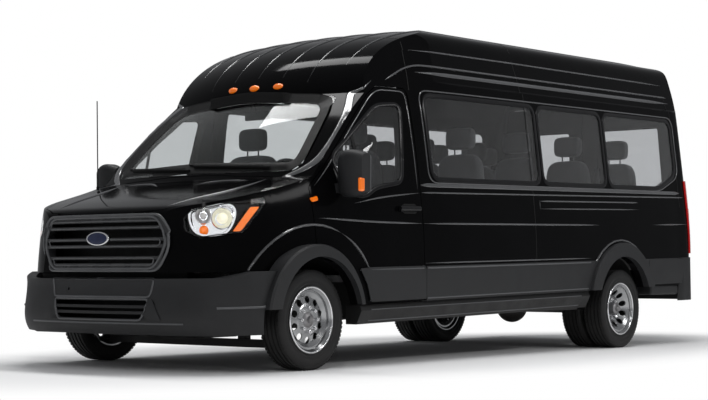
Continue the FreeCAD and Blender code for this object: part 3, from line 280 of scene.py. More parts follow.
@dataclass(frozen=True)
class Finish:
    """An opaque finish with drifting tone, grain and a film of dust."""

    name: str
    colour: Colour
    second: Colour
    roughness: Pair
    slot: str = "trim"
    metallic: float = 0.0
    specular: float = 0.5
    coat: float = 0.0
    grain_scale: float = 300.0
    grain_depth: float = 0.0
    drift_scale: float = 2.0
    dust: float = 0.0
    dust_top: float = 0.7
    emission: float = 0.0
    sheen: float = 0.0

    def build(self, groups: Groups) -> Material:
        """Makes the material.

        Args:
            groups: the shared shader node groups.

        Returns:
            A material that reads Object coordinates.
        """
        material, shader, place = new_material(self.name)
        tree = material.node_tree
        drift = add_node(tree, "Group", {"Vector": place, "Scale": self.drift_scale},
                         node_tree=groups.drift).outputs["Mask"]
        colour = add_node(tree, "Mix", {"A": rgba(self.colour), "B": rgba(self.second), "Factor": drift},
                          data_type="RGBA").outputs["Result"]
        if self.dust:
            film = add_node(tree, "Group", {"Vector": place, "Top": self.dust_top, "Amount": self.dust},
                            node_tree=groups.film).outputs["Mask"]
            colour = add_node(tree, "Mix", {"A": colour, "B": rgba(DUST), "Factor": film},
                              data_type="RGBA").outputs["Result"]
        low, high = self.roughness
        rough = add_node(tree, "MapRange", {"Value": drift, "To Min": low, "To Max": high})
        feed(tree, shader, {"Base Color": colour, "Roughness": rough.outputs["Result"],
                            "Metallic": self.metallic, "Specular IOR Level": self.specular,
                            "Coat Weight": self.coat, "Sheen Weight": self.sheen})
        if self.emission:
            feed(tree, shader, {"Emission Color": rgba(self.colour), "Emission Strength": self.emission})
        if self.grain_depth:
            grain = add_node(tree, "Group", {"Vector": place, "Scale": self.grain_scale},
                             node_tree=groups.grain).outputs["Height"]
            bump = add_node(tree, "Bump", {"Distance": self.grain_depth, "Strength": BUMP_STRENGTH,
                                           "Height": grain})
            feed(tree, shader, {"Normal": bump.outputs["Normal"]})
        return material


@dataclass(frozen=True)
class Glazing:
    """Clear or tinted glass with a faint film on its surface."""

    name: str
    tint: Colour
    ior: float

    def build(self, groups: Groups) -> Material:
        """Makes the glass material.

        Args:
            groups: the shared shader node groups.

        Returns:
            A transmissive material.
        """
        material, shader, place = new_material(self.name)
        tree = material.node_tree
        drift = add_node(tree, "Group", {"Vector": place, **GLASS_DRIFT}, node_tree=groups.drift)
        feed(tree, shader, {"Roughness": drift.outputs["Mask"], "Base Color": rgba(self.tint),
                            "Transmission Weight": 1.0, "IOR": self.ior})
        return material


class Paint(Enum):
    """Every finish of the vehicle."""

    BODY = Finish("black_paint", (0.002, 0.002, 0.0022), (0.003, 0.003, 0.0033), (0.06, 0.10), "paint",
                  specular=0.035, drift_scale=1.5, dust=0.012, dust_top=0.8)
    # a lighter copy of the black paint: painted highlight for the thin bright lines along creases, ridges
    # and edges
    EDGE = Finish("paint_highlight", (0.055, 0.056, 0.058), (0.085, 0.086, 0.09), (0.10, 0.16), "paint",
                  specular=0.8, drift_scale=1.5)
    NAVY = Finish("badge_enamel", (0.006, 0.012, 0.045), (0.009, 0.016, 0.055), (0.15, 0.22), "gloss_trim",
                  drift_scale=20)
    WARM_LENS = Finish("projector_lens", (0.90, 0.86, 0.66), (0.80, 0.76, 0.56), (0.03, 0.08), "lamp_clear",
                       coat=1.0, drift_scale=30, emission=0.45)
    TRIM = Finish("charcoal_plastic", (0.013, 0.0135, 0.0145), (0.019, 0.0195, 0.021), (0.48, 0.62),
                  specular=0.3, grain_scale=900, grain_depth=0.0005, drift_scale=5, dust=0.06)
    GLOSS_TRIM = Finish("gloss_black_plastic", (0.005, 0.005, 0.0055), (0.008, 0.008, 0.009), (0.15, 0.24),
                        "gloss_trim", specular=0.2, drift_scale=6)
    BAR = Finish("grille_bar", (0.022, 0.0225, 0.024), (0.03, 0.0305, 0.032), (0.22, 0.34), drift_scale=6)
    # a lighter copy of the charcoal trim: painted highlight for the light lines along trim edges, chamfers,
    # lips and ridges
    GREY_TRIM = Finish("satin_grey_plastic", (0.07, 0.072, 0.075), (0.09, 0.092, 0.096), (0.3, 0.42),
                       drift_scale=6)
    SEAL = Finish("window_seal", (0.004, 0.004, 0.004), (0.007, 0.007, 0.007), (0.45, 0.6), specular=0.2,
                  drift_scale=9, grain_scale=1200, grain_depth=0.0003)
    STEEL_BLACK = Finish("black_chassis", (0.006, 0.006, 0.0065), (0.01, 0.01, 0.0105), (0.4, 0.6),
                         "steel_painted", specular=0.3, drift_scale=6, grain_scale=500, grain_depth=0.0005,
                         dust=0.06)
    STEEL = Finish("bare_steel", (0.33, 0.33, 0.34), (0.24, 0.23, 0.23), (0.32, 0.5), "steel_bare",
                   metallic=1.0, drift_scale=12, grain_scale=700, grain_depth=0.0003)
    CAST = Finish("cast_iron", (0.10, 0.10, 0.10), (0.16, 0.15, 0.14), (0.5, 0.7), metallic=0.6,
                  drift_scale=9, grain_scale=260, grain_depth=0.0015)
    RIM = Finish("silver_wheel", (0.42, 0.425, 0.43), (0.30, 0.305, 0.31), (0.14, 0.24), metallic=0.95,
                 drift_scale=9, grain_scale=900, grain_depth=0.0001, dust=0.12)
    CHROME = Finish("bright_metal", (0.86, 0.86, 0.87), (0.78, 0.78, 0.79), (0.10, 0.20), "rim",
                    metallic=1.0, drift_scale=10)
    TYRE = Finish("tyre_rubber", (0.007, 0.007, 0.0075), (0.012, 0.012, 0.0125), (0.55, 0.72), "tyre",
                  specular=0.3, drift_scale=8, grain_scale=700, grain_depth=0.0005, dust=0.07)
    RED_LENS = Finish("red_lens", (0.50, 0.012, 0.012), (0.38, 0.008, 0.008), (0.1, 0.18), coat=0.6,
                      drift_scale=14, emission=0.25)
    AMBER_LENS = Finish("amber_lens", (0.85, 0.17, 0.005), (0.70, 0.13, 0.004), (0.1, 0.18), "lamp_amber",
                        coat=0.6, drift_scale=14, emission=0.35)
    WHITE_LENS = Finish("pale_lens", (0.62, 0.60, 0.58), (0.5, 0.48, 0.47), (0.12, 0.2), "lamp_clear",
                        coat=1.0, drift_scale=14)
    FABRIC = Finish("seat_cloth", (0.055, 0.056, 0.06), (0.085, 0.086, 0.09), (0.85, 0.95), "fabric",
                    grain_scale=900, grain_depth=0.0012, drift_scale=9, sheen=0.3)
    FLOOR = Finish("floor_vinyl", (0.06, 0.06, 0.062), (0.09, 0.09, 0.09), (0.5, 0.7), grain_scale=400,
                   grain_depth=0.0006, drift_scale=3)
    CLEAR_GLASS = Glazing("clear_glass", (0.76, 0.79, 0.79), 1.16)
    DARK_GLASS = Glazing("dark_glass", (0.64, 0.65, 0.66), 1.3)
    LAMP_GLASS = Glazing("lamp_cover", (0.95, 0.96, 0.97), 1.14)


NODES_IN: dict[Paint, str] = {
    Paint.BODY: "roof windscreen_frame hood fender body_side door_sliding door_front door_rear",
    Paint.CLEAR_GLASS: "windscreen",
    Paint.DARK_GLASS: "side_glass door_glass rear_glass",
    Paint.LAMP_GLASS: "head_lamps",
    Paint.RED_LENS: "tail_lamps",
    Paint.AMBER_LENS: "roof_marker_lamps",
    Paint.BAR: "grille",
    Paint.TRIM: "bumper_front bumper_rear cladding flares mirror dashboard",
    Paint.STEEL_BLACK: "rockers frame_rails fuel_tank front_arms seat_pedestals",
    Paint.CAST: "engine rear_axle knuckle",
    Paint.STEEL: "leaf_springs struts",
    Paint.TYRE: "tyre",
    Paint.RIM: "rim",
    Paint.FABRIC: "seats",
    Paint.FLOOR: "floor",
    Paint.GLOSS_TRIM: "aerial_mast steering_wheel",
}
NODE_PAINTS = {stem: paint for paint, stems in NODES_IN.items() for stem in stems.split()}


def finish_of(node: str) -> Paint:
    """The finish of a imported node, by the longest stem that its name starts with."""
    return NODE_PAINTS[max((stem for stem in NODE_PAINTS if node.startswith(stem)), key=len)]


class Palette:
    """Builds each finish's material on first use."""

    def __init__(self) -> None:
        """Makes the shared node groups."""
        self.groups = Groups()
        self.made: dict[Paint, Material] = {}

    def of(self, paint: Paint) -> Material:
        """The material of a finish.

        Args:
            paint: the finish.

        Returns:
            Its material, built once.
        """
        if paint not in self.made:
            self.made[paint] = paint.value.build(self.groups)
        return self.made[paint]


# modelling tools


def deselect() -> None:
    """Leaves nothing selected and no mode open."""
    if bpy.context.object and bpy.context.object.mode != "OBJECT":
        bpy.ops.object.mode_set(mode="OBJECT")
    bpy.ops.object.select_all(action="DESELECT")


def focus(piece: Piece) -> None:
    """Selects one piece and makes it active.

    Args:
        piece: the piece.
    """
    deselect()
    piece.select_set(True)
    bpy.context.view_layer.objects.active = piece


@contextmanager
def editing(piece: Piece) -> Iterator[None]:
    """Opens a mesh with everything selected, and closes it at the end.

    Args:
        piece: the piece that has the mesh.

    Returns:
        A context in which mesh operators work on it.
    """
    focus(piece)
    bpy.ops.object.mode_set(mode="EDIT")
    bpy.ops.mesh.select_all(action="SELECT")
    yield
    bpy.ops.object.mode_set(mode="OBJECT")


def placed(name: str, data: bpy.types.ID) -> Piece:
    """Puts data into the scene.

    Args:
        name: the new object's name.
        data: its mesh, lamp or camera.

    Returns:
        The object.
    """
    item = bpy.data.objects.new(name, data)
    bpy.context.scene.collection.objects.link(item)
    return item


def meshed(name: str, points: Sequence[Sequence[float]], edges: Sequence[Sequence[int]] = (),
           faces: Sequence[Sequence[int]] = ()) -> Piece:
    """Makes a piece from its parts.

    Args:
        name: the piece's name.
        points: its points.
        edges: its loose edges, as indices of the points.
        faces: its faces, as indices of the points.

    Returns:
        The piece.
    """
    mesh = bpy.data.meshes.new(name)
    mesh.from_pydata(points, edges, faces)
    return placed(name, mesh)


def shaped(name: str, kind: str, **values: Any) -> Piece:
    """Makes a primitive.

    Args:
        name: the piece's name.
        kind: cube, cylinder, cone, uv_sphere or plane.
        values: what its operator takes.

    Returns:
        The piece.
    """
    deselect()
    getattr(bpy.ops.mesh, f"primitive_{kind}_add")(**values)
    piece = bpy.context.object
    piece.name = name
    return piece


def settle(piece: Piece) -> None:
    """Puts a piece's place, turn and scale into its mesh."""
    focus(piece)
    bpy.ops.object.transform_apply(location=True, rotation=True, scale=True)


def modify(piece: Piece, kind: str, **values: Any) -> None:
    """Adds a modifier and applies it.

    Args:
        piece: the piece.
        kind: the modifier's type.
        values: its settings.
    """
    focus(piece)
    modifier = piece.modifiers.new(kind.lower(), kind)
    for name, value in values.items():
        setattr(modifier, name, value)
    bpy.ops.object.modifier_apply(modifier=modifier.name)


def smooth(piece: Piece, degrees: float = 35.0) -> None:
    """Shades a piece smooth up to an angle."""
    focus(piece)
    bpy.ops.object.shade_smooth_by_angle(angle=math.radians(degrees))


def joined(pieces: Sequence[Piece], name: str) -> Piece:
    """Joins pieces into the first one.

    Args:
        pieces: the pieces to join.
        name: the result's name.

    Returns:
        The joined piece.
    """
    deselect()
    for piece in pieces:
        piece.select_set(True)
    bpy.context.view_layer.objects.active = pieces[0]
    if len(pieces) > 1:
        bpy.ops.object.join()
    pieces[0].name = name
    return pieces[0]


def copied(piece: Piece, matrix: Matrix) -> Piece:
    """Copies a piece and its mesh.

    Args:
        piece: the piece to copy.
        matrix: how the copy is moved.

    Returns:
        The copy, its faces outward.
    """
    mesh = piece.data.copy()
    mesh.transform(matrix)
    if matrix.determinant() < 0:
        mesh.flip_normals()
    return placed(piece.name, mesh)


def block(name: str, low: Sequence[float], high: Sequence[float], bevel: float = 0.004) -> Piece:
    """A block between two corners.

    Args:
        name: the piece's name.
        low: its lowest corner.
        high: its highest corner.
        bevel: the width of its rounded edges.

    Returns:
        The block.
    """
    piece = shaped(name, "cube", size=1, location=[(a + b) / 2 for a, b in zip(low, high)])
    piece.scale = [b - a for a, b in zip(low, high)]
    settle(piece)
    if bevel:
        modify(piece, "BEVEL", width=bevel, segments=3)
    return piece


def rod(name: str, radius: float, start: Sequence[float], end: Sequence[float],
        sides: int = 16) -> Piece:
    """A round bar between two points with softened ends.

    Args:
        name: the piece's name.
        radius: its radius.
        start: one end.
        end: the other end.
        sides: how many sides it has.

    Returns:
        The bar.
    """
    a, b = Vector(start), Vector(end)
    piece = shaped(name, "cylinder", vertices=sides, radius=radius, depth=(b - a).length,
                   location=(a + b) / 2, rotation=(b - a).to_track_quat("Z", "Y").to_euler())
    settle(piece)
    modify(piece, "BEVEL", width=radius * 0.25, segments=2, limit_method="ANGLE")
    smooth(piece)
    return piece


def lathe(name: str, profile: Sequence[Pair], centre: Point, steps: int) -> Piece:
    """Spins a profile about a level axis across the vehicle.

    Args:
        name: the piece's name.
        profile: radius and y of each point, as a closed loop.
        centre: the axis' centre.
        steps: how many parts the turn has.

    Returns:
        The spun solid, its faces outward.
    """
    x, y, z = centre
    count = len(profile)
    piece = meshed(name, [(x, y + across, z + radius) for radius, across in profile],
                   [(i, (i + 1) % count) for i in range(count)])
    with editing(piece):
        bpy.ops.mesh.spin(steps=steps, angle=math.tau, center=centre, axis=(0, 1, 0))
        bpy.ops.mesh.select_all(action="SELECT")
        bpy.ops.mesh.remove_doubles(threshold=0.00005)
        bpy.ops.mesh.normals_make_consistent(inside=False)
    smooth(piece, 40)
    return piece


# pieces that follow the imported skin

VIEW_REACH = 9
# normals that face away from the view by more than this are taken as facing it
GRAZING = -0.12
SINK = 0.002
CORNER_PARTS = 6
CORNER_LIMIT = 0.49
# shares of a step: the shortest last piece of an open path and the smallest gap in a closed one
LEAST_END = 0.3
LEAST_GAP = 0.5
LEAST_TAPER = 0.12
SKIN_SMOOTHING = 50


@dataclass(frozen=True)
class View:
    """A direction from which points are dropped onto the skin."""

    across: Vector
    up: Vector

    @property
    def toward(self) -> Vector:
        """The way the view looks, into the vehicle."""
        return -self.across.cross(self.up)

    def flat(self, point: Vector) -> Pair:
        """The point's two coordinates in this view."""
        return point.dot(self.across), point.dot(self.up)

    def lift(self, u: float, v: float) -> Vector:
        """A point well outside the vehicle that shows at u and v."""
        return self.across * u + self.up * v - self.toward * VIEW_REACH

    def depth(self, point: Vector, u: float, v: float) -> float:
        """How far the point lies from the view's start at u and v."""
        return (point - self.lift(u, v)).dot(self.toward)


LAMP_TURN = math.radians(40)
UP = Vector((0, 0, 1))
LEFT_VIEW = View(Vector((-1, 0, 0)), UP)
FRONT_VIEW = View(Vector((0, 1, 0)), UP)
REAR_VIEW = View(Vector((0, -1, 0)), UP)
TOP_VIEW = View(Vector((1, 0, 0)), Vector((0, 1, 0)))
LAMP_VIEW = View(Vector((-math.sin(LAMP_TURN), math.cos(LAMP_TURN), 0)), UP)


class Skin:
    """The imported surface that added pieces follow."""

    def __init__(self, nodes: dict[str, Piece], *names: str) -> None:
        """Gathers nodes into one tree.

        Args:
            nodes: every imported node.
            names: the nodes to gather.
        """
        points: list[Vector] = []
        faces: list[list[int]] = []
        for name in names:
            mesh = nodes[name].data
            start = len(points)
            points += [vertex.co.copy() for vertex in mesh.vertices]
            faces += [[start + i for i in polygon.vertices] for polygon in mesh.polygons]
        self.tree = BVHTree.FromPolygons(points, faces)

    def drop(self, view: View, u: float, v: float) -> tuple[Vector, Vector] | None:
        """Where a line of the view meets the skin.

        Args:
            view: the direction of the line.
            u: its first coordinate.
            v: its second coordinate.

        Returns:
            The point and the outward normal there, or None past the edge.
        """
        place, normal, _, _ = self.tree.ray_cast(view.lift(u, v), view.toward)
        if place is None:
            return None
        return place, -view.toward if normal.dot(view.toward) > GRAZING else normal


def cornered(path: Sequence[Vector], closed: bool, radius: float) -> list[Vector]:
    """Rounds the corners of a flat path.

    Args:
        path: its corners.
        closed: whether it returns to its start.
        radius: how far from each corner its rounding starts.

    Returns:
        The points of the rounded path.
    """
    line = []
    for i, corner in enumerate(path):
        if not closed and i in (0, len(path) - 1) or not radius:
            line.append(corner)
            continue
        before, after = path[i - 1] - corner, path[(i + 1) % len(path)] - corner
        start = corner + before.normalized() * min(radius, before.length * CORNER_LIMIT)
        end = corner + after.normalized() * min(radius, after.length * CORNER_LIMIT)
        for k in range(CORNER_PARTS + 1):
            t = k / CORNER_PARTS
            line.append(start.lerp(corner, t).lerp(corner.lerp(end, t), t))
    return line + [line[0].copy()] if closed else line


def rounded_path(points: Sequence[Pair], closed: bool, step: float, radius: float) -> list[Vector]:
    """Rounds a path's corners and spaces its points evenly.

    Args:
        points: the path's corners.
        closed: whether it returns to its start.
        step: the spacing.
        radius: how far from each corner its rounding starts.

    Returns:
        The new points.
    """
    line = cornered([Vector(p) for p in points], closed, radius)
    even, carry = [line[0].copy()], 0.0
    for a, b in zip(line, line[1:]):
        length = (b - a).length
        while carry + length >= step and length > 0:
            a = a.lerp(b, (step - carry) / length)
            even.append(a.copy())
            length, carry = (b - a).length, 0.0
        carry += length
    if not closed and carry > step * LEAST_END:
        even.append(line[-1].copy())
    if closed and (even[-1] - even[0]).length < step * LEAST_GAP:
        even.pop()
    return even


def ridge(width: float, height: float) -> list[Pair]:
    """A crowned section that stands proud of the skin.

    Args:
        width: its width.
        height: its height.

    Returns:
        Offset across and height of each of its points.
    """
    turns = [i * math.pi / 6 for i in range(1, 6)]
    crown = [(width / 2 * math.cos(turn), height * math.sin(turn)) for turn in turns]
    return [(width / 2, -SINK), *crown, (-width / 2, -SINK)]


def band(width: float, height: float) -> list[Pair]:
    """A flat section with softened edges.

    Args:
        width: its width.
        height: its height.

    Returns:
        Offset across and height of each of its points.
    """
    w, e = width / 2, min(width * 0.12, 0.004)
    return [(w, -SINK), (w, height - e * 0.4), (w - e, height), (0, height), (e - w, height),
            (-w, height - e * 0.4), (-w, -SINK)]


def ribbon(name: str, skin: Skin, view: View, path: Sequence[Vector], section: Sequence[Pair],
           closed: bool = False, step: float = 0.02, radius: float = 0.06,
           taper: float = 0.0) -> Piece:
    """Runs a section along a path over the skin.

    Args:
        name: the piece's name.
        skin: the surface it follows.
        view: the direction from which the path is dropped.
        path: its corners, in the row frame.
        section: offset across and height of each point of the section.
        closed: whether the path returns to its start.
        step: the spacing of its sections.
        radius: how far from each corner its rounding starts.
        taper: the length over which its ends thin out.

    Returns:
        The finished solid, its faces outward.
    """
    line = rounded_path([view.flat(p) for p in path], closed, step, radius)
    rows: list[list[Vector]] = []
    depth = None
    for i, here in enumerate(line):
        back = line[i - 1] if closed or i else here
        ahead = line[(i + 1) % len(line)] if closed or i + 1 < len(line) else here
        along = (ahead - back).normalized()
        side = Vector((along.y, -along.x))
        reach = min(i, len(line) - 1 - i) * step / taper if taper else 1.0
        share = max(LEAST_TAPER, math.sin(min(reach, 1.0) * math.pi / 2))
        row = []
        for across, height in section:
            u, v = here + side * across * share
            found = skin.drop(view, u, v) or skin.drop(view, here.x, here.y)
            if found:
                depth = view.depth(found[0], u, v)
                row.append(view.lift(u, v) + view.toward * depth + found[1] * height * share)
            elif depth is not None:
                row.append(view.lift(u, v) + view.toward * (depth - height))
        if len(row) == len(section):
            rows.append(row)
    count = len(section)
    faces = []
    for r in range(len(rows) if closed else len(rows) - 1):
        a, b = r * count, (r + 1) % len(rows) * count
        faces += [(a + k, a + (k + 1) % count, b + (k + 1) % count, b + k) for k in range(count)]
    if not closed:
        last = (len(rows) - 1) * count
        faces += [tuple(range(count))[::-1], tuple(last + k for k in range(count))]
    piece = meshed(name, [point for row in rows for point in row], faces=faces)
    with editing(piece):
        bpy.ops.mesh.normals_make_consistent(inside=False)
    smooth(piece, SKIN_SMOOTHING)
    return piece


def patch(name: str, skin: Skin, view: View, outline: Sequence[Vector], height: float, thick: float,
          step: float = 0.02, radius: float = 0.03) -> Piece:
    """A panel that follows the skin inside an outline.

    Args:
        name: the piece's name.
        skin: the surface it follows.
        view: the direction from which the outline is dropped.
        outline: its corners, in the row frame.
        height: how far it stands off the skin.
        thick: its thickness.
        step: the spacing of its points.
        radius: how far from each corner its rounding starts.

    Returns:
        The finished solid.
    """
    line = rounded_path([view.flat(p) for p in outline], True, step, radius)
    mesh = bmesh.new()
    mesh.faces.new([mesh.verts.new((p.x, p.y, 0)) for p in line])
    for axis, normal in enumerate((Vector((1, 0, 0)), Vector((0, 1, 0)))):
        low, high = min(p[axis] for p in line), max(p[axis] for p in line)
        for k in range(1, int((high - low) / step) + 1):
            every = mesh.verts[:] + mesh.edges[:] + mesh.faces[:]
            bmesh.ops.bisect_plane(mesh, geom=every, plane_co=normal * (low + k * step), plane_no=normal)
    places = [(vertex, vertex.co.x, vertex.co.y, skin.drop(view, vertex.co.x, vertex.co.y))
              for vertex in mesh.verts]
    depths = [view.depth(found[0], u, v) for _, u, v, found in places if found]
    middle = sum(depths) / len(depths)
    for vertex, u, v, found in places:
        if found:
            vertex.co = found[0] + found[1] * height
        else:
            start = view.lift(u, v)
            near = skin.tree.find_nearest(start + view.toward * middle)[0]
            vertex.co = start + view.toward * (view.depth(near, u, v) - height)
    data = bpy.data.meshes.new(name)
    mesh.to_mesh(data)
    mesh.free()
    piece = placed(name, data)
    modify(piece, "SOLIDIFY", thickness=thick, offset=-1)
    smooth(piece, SKIN_SMOOTHING)
    return piece


class Vehicle:
    """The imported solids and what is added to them."""

    def __init__(self, nodes: dict[str, Piece]) -> None:
        """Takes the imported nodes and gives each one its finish.

        Args:
            nodes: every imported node.
        """
        self.nodes = nodes
        self.palette = Palette()
        for name, node in nodes.items():
            node.data.materials.clear()
            node.data.materials.append(self.palette.of(finish_of(name)))
            for polygon in node.data.polygons:
                polygon.material_index = 0

    def skin(self, *names: str) -> Skin:
        """The surface of the named nodes."""
        return Skin(self.nodes, *names)

    def add(self, piece: Piece, paint: Paint, body: str = "body", slot: str = "") -> None:
        """Finishes a new piece and lets it ride.

        Args:
            piece: the finished mesh, at the origin.
            paint: its finish.
            body: the body that carries it.
            slot: not used.
        """
        piece.data.materials.append(self.palette.of(paint))
        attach(piece, body)
        LOG.info("%s rides on %s", piece.name, body)

    def both(self, piece: Piece, paint: Paint, body: str = "body", slot: str = "") -> None:
        """Adds a piece and its mirrored twin.

        Args:
            piece: the left piece, named with the word left.
            paint: its finish.
            body: the body that carries the left one.
            slot: passed to add, which does not use it.
        """
        twin = copied(piece, MIRRORED)
        twin.name = piece.name.replace("left", "right")
        self.add(piece, paint, body, slot)
        self.add(twin, paint, body.replace("left", "right"), slot)


@dataclass
class Part:
    """The pieces that dress one region of the vehicle."""

    car: Vehicle

    def build(self) -> None:
        """Builds every piece of the region."""
        raise NotImplementedError


GRILLE_OUTLINE = ((-505, 662), (505, 662), (598, 800), (598, 890), (520, 1016), (-520, 1016), (-598, 890),
                  (-598, 800))
GRILLE_MIDDLE = 845
GRILLE_SHARES = (1.0, 0.93)
LOOP_HALF_HEIGHT = 22
LOOPS = ((721, 462, 478), (839, 510, 526), (957, 518, 496))
BADGE_SIZE = (0.045, 0.105)
LAMP_BEZEL = ((-22, 1036), (60, 1078), (260, 1116), (522, 1138), (492, 1045), (384, 878), (110, 850),
              (8, 897))
LAMP_WALL = ((-18, 985), (28, 1033), (246, 1078), (484, 1103), (455, 1040), (340, 900), (88, 866),
             (-8, 908))
LAMP_MIRROR = ((20, 1024), (180, 1066), (290, 1066), (302, 1000), (255, 900), (110, 880), (42, 910))
LAMP_EDGE = ((6, 1026), (70, 1054), (180, 1074), (296, 1074), (312, 1000), (262, 893), (190, 880),
             (110, 872), (35, 905))
LAMP_REFLECTOR = ((290, 902), (342, 905), (455, 1062), (398, 1058))
LAMP_DROP = 0.0126
PANEL_OUTLINE = ((840, -472, 612), (840, 472, 612), (840, 444, 496), (840, -444, 496))
INTAKE_OUTLINE = ((860, -440, 484), (860, 440, 484), (860, 388, 350), (860, -388, 350))
INTAKE_CORNER = ((860, 439, 484), (860, 470, 484), (860, 548, 350), (860, 387, 350))
# name, path, width and height of the section, rounding, length over which the ends thin out
HOOD_LINES = (("crease", ((60, 690, 1200), (420, 640, 1150), (800, 520, 1050)), (0.022, 0.008), 0.2, 0.25),
              ("vent", ((200, 180, 1200), (120, 300, 1200), (95, 560, 1200)), (0.014, 0.007), 0.08, 0.12))
SCREEN_OUTLINE = ((-100, -838, 1318), (-100, 0, 1345), (-100, 838, 1318), (-400, 790, 1560),
                  (-700, 712, 1812), (-700, 0, 1868), (-700, -712, 1812), (-400, -790, 1560))


def tube(half: float, low: float, high: float) -> list[Pair]:
    """A section that stands on edge between two heights."""
    return [(half, low), (half, high), (-half, high), (-half, low)]


class Nose(Part):
    """Grille, lamps, bumper, hood and windscreen details."""

    def build(self) -> None:
        """Builds every piece of the front."""
        self.grille()
        self.badge()
        self.lamps()
        self.bumper()
        self.hood()
        self.screen()

    def grille(self) -> None:
        """The radiator behind the grille, its rings and loops in painted highlight, and the tray below,
        partly painted shade.
        """
        core = block("radiator", mm(640, -585, 300), mm(690, 585, 985), 0.01)
        self.car.add(core, Paint.SEAL, slot="steel_painted")
        self.car.add(block("lower_screen", mm(620, -860, 300), mm(640, 860, 640)), Paint.SEAL)
        skin = self.car.skin("grille")
        middle = GRILLE_MIDDLE
        for number, share in enumerate(GRILLE_SHARES, 1):
            path = [mm(900, y * share, middle + (z - middle) * share) for y, z in GRILLE_OUTLINE]
            ring = ribbon(f"grille_ring_{number}", skin, FRONT_VIEW, path, ridge(0.016, 0.010), True,
                          radius=0.05)
            self.car.add(ring, Paint.GREY_TRIM, slot="gloss_trim")
        for number, (centre, low, high) in enumerate(LOOPS, 1):
            bottom, top = centre - LOOP_HALF_HEIGHT, centre + LOOP_HALF_HEIGHT
            path = traced((900, -low, bottom), (900, low, bottom), (900, high, top), (900, -high, top))
            loop = ribbon(f"grille_loop_{number}", skin, FRONT_VIEW, path, ridge(0.009, 0.005), True,
                          radius=0.02)
            self.car.add(loop, Paint.GREY_TRIM, slot="gloss_trim")
        # partly painted shade: the dark tray stands for the chassis under the nose and for the shade that
        # falls there
        self.car.add(block("undertray", mm(480, -835, 240), mm(745, 835, 300), 0.02), Paint.SEAL)

    def badge(self) -> None:
        """A bare oval badge with a bright rim."""
        width, height = BADGE_SIZE
        for name, share, paint, ahead in (("badge_rim", 1.0, Paint.CHROME, 0.0),
                                          ("badge_face", 0.86, Paint.NAVY, 0.004)):
            piece = shaped(name, "cylinder", vertices=64, radius=1, depth=1,
                           location=mm(905, 0, 868) + Vector((ahead, 0, 0)), rotation=(0, math.pi / 2, 0))
            piece.scale = (width * share, height * share, 0.026)
            settle(piece)
            modify(piece, "BEVEL", width=0.005, segments=3, limit_method="ANGLE")
            smooth(piece)
            self.car.add(piece, paint, slot="gloss_trim")

    @staticmethod
    def lamp_points(outline: Sequence[Pair]) -> list[Vector]:
        """The places of points of the lamp's slanted face.

        Args:
            outline: millimetres along the face and above the ground, for each point.

        Returns:
            The points in the row frame.
        """
        start = LAMP_VIEW.across.x * AXLE_FRONT
        return [LAMP_VIEW.across * (start + s / 1000) + Vector((0, 0, z / 1000 - LAMP_DROP))
                for s, z in outline]

    def bulb(self, skin: Skin, name: str, spot: Pair, radius: float, depth: float) -> Piece:
        """A round lens behind the lamp's cover, or a bowl where its name says so.

        Args:
            skin: the cover's surface.
            name: the piece's name.
            spot: its place in the lamp's view, in millimetres.
            radius: its radius.
            depth: how far it lies behind the cover.

        Returns:
            The finished piece.
        """
        ahead = -LAMP_VIEW.toward
        place = skin.drop(LAMP_VIEW, *LAMP_VIEW.flat(self.lamp_points([spot])[0]))[0] - ahead * depth
        if "bowl" in name:
            piece = shaped(name, "cone", vertices=40, radius1=radius * 0.35, radius2=radius,
                           depth=radius * 0.8, end_fill_type="NOTHING",
                           location=place - ahead * radius * 0.3,
                           rotation=ahead.to_track_quat("Z", "Y").to_euler())
            settle(piece)
            modify(piece, "SOLIDIFY", thickness=0.004, offset=1)
        else:
            piece = shaped(name, "uv_sphere", segments=32, ring_count=16, radius=radius, location=place)
            settle(piece)
        smooth(piece)
        return piece

    def lamps(self) -> None:
        """Bezel, bowls, projector and amber reflector behind each clear cover."""
        skin = self.car.skin("head_lamps")
        self.car.both(patch("lamp_bezel_left", skin, LAMP_VIEW, self.lamp_points(LAMP_BEZEL), -0.055, 0.004,
                            radius=0.002), Paint.GLOSS_TRIM)
        self.car.both(ribbon("lamp_wall_left", skin, LAMP_VIEW, self.lamp_points(LAMP_WALL),
                             tube(0.003, -0.064, -0.005), True, 0.015, 0.015), Paint.GLOSS_TRIM)
        self.car.both(patch("lamp_mirror_left", skin, LAMP_VIEW, self.lamp_points(LAMP_MIRROR), -0.046,
                            0.003), Paint.CHROME)
        self.car.both(ribbon("lamp_edge_left", skin, LAMP_VIEW, self.lamp_points(LAMP_EDGE),
                             tube(0.006, -0.04, -0.012), True), Paint.CHROME, slot="gloss_trim")
        self.car.both(patch("lamp_reflector_left", skin, LAMP_VIEW, self.lamp_points(LAMP_REFLECTOR), -0.010,
                            0.006, 0.012, 0.004), Paint.AMBER_LENS)
        for name, spot, radius, depth, paint in (("projector_bowl", (222, 984), 0.064, 0.02, Paint.CHROME),
                                                 ("projector", (222, 984), 0.038, 0.04, Paint.WARM_LENS),
                                                 ("high_bowl", (104, 1000), 0.05, 0.02, Paint.CHROME),
                                                 ("high_bulb", (104, 1000), 0.02, 0.03, Paint.WHITE_LENS),
                                                 ("turn", (108, 908), 0.03, 0.032, Paint.AMBER_LENS)):
            self.car.both(self.bulb(skin, f"lamp_{name}_left", spot, radius, depth), paint)

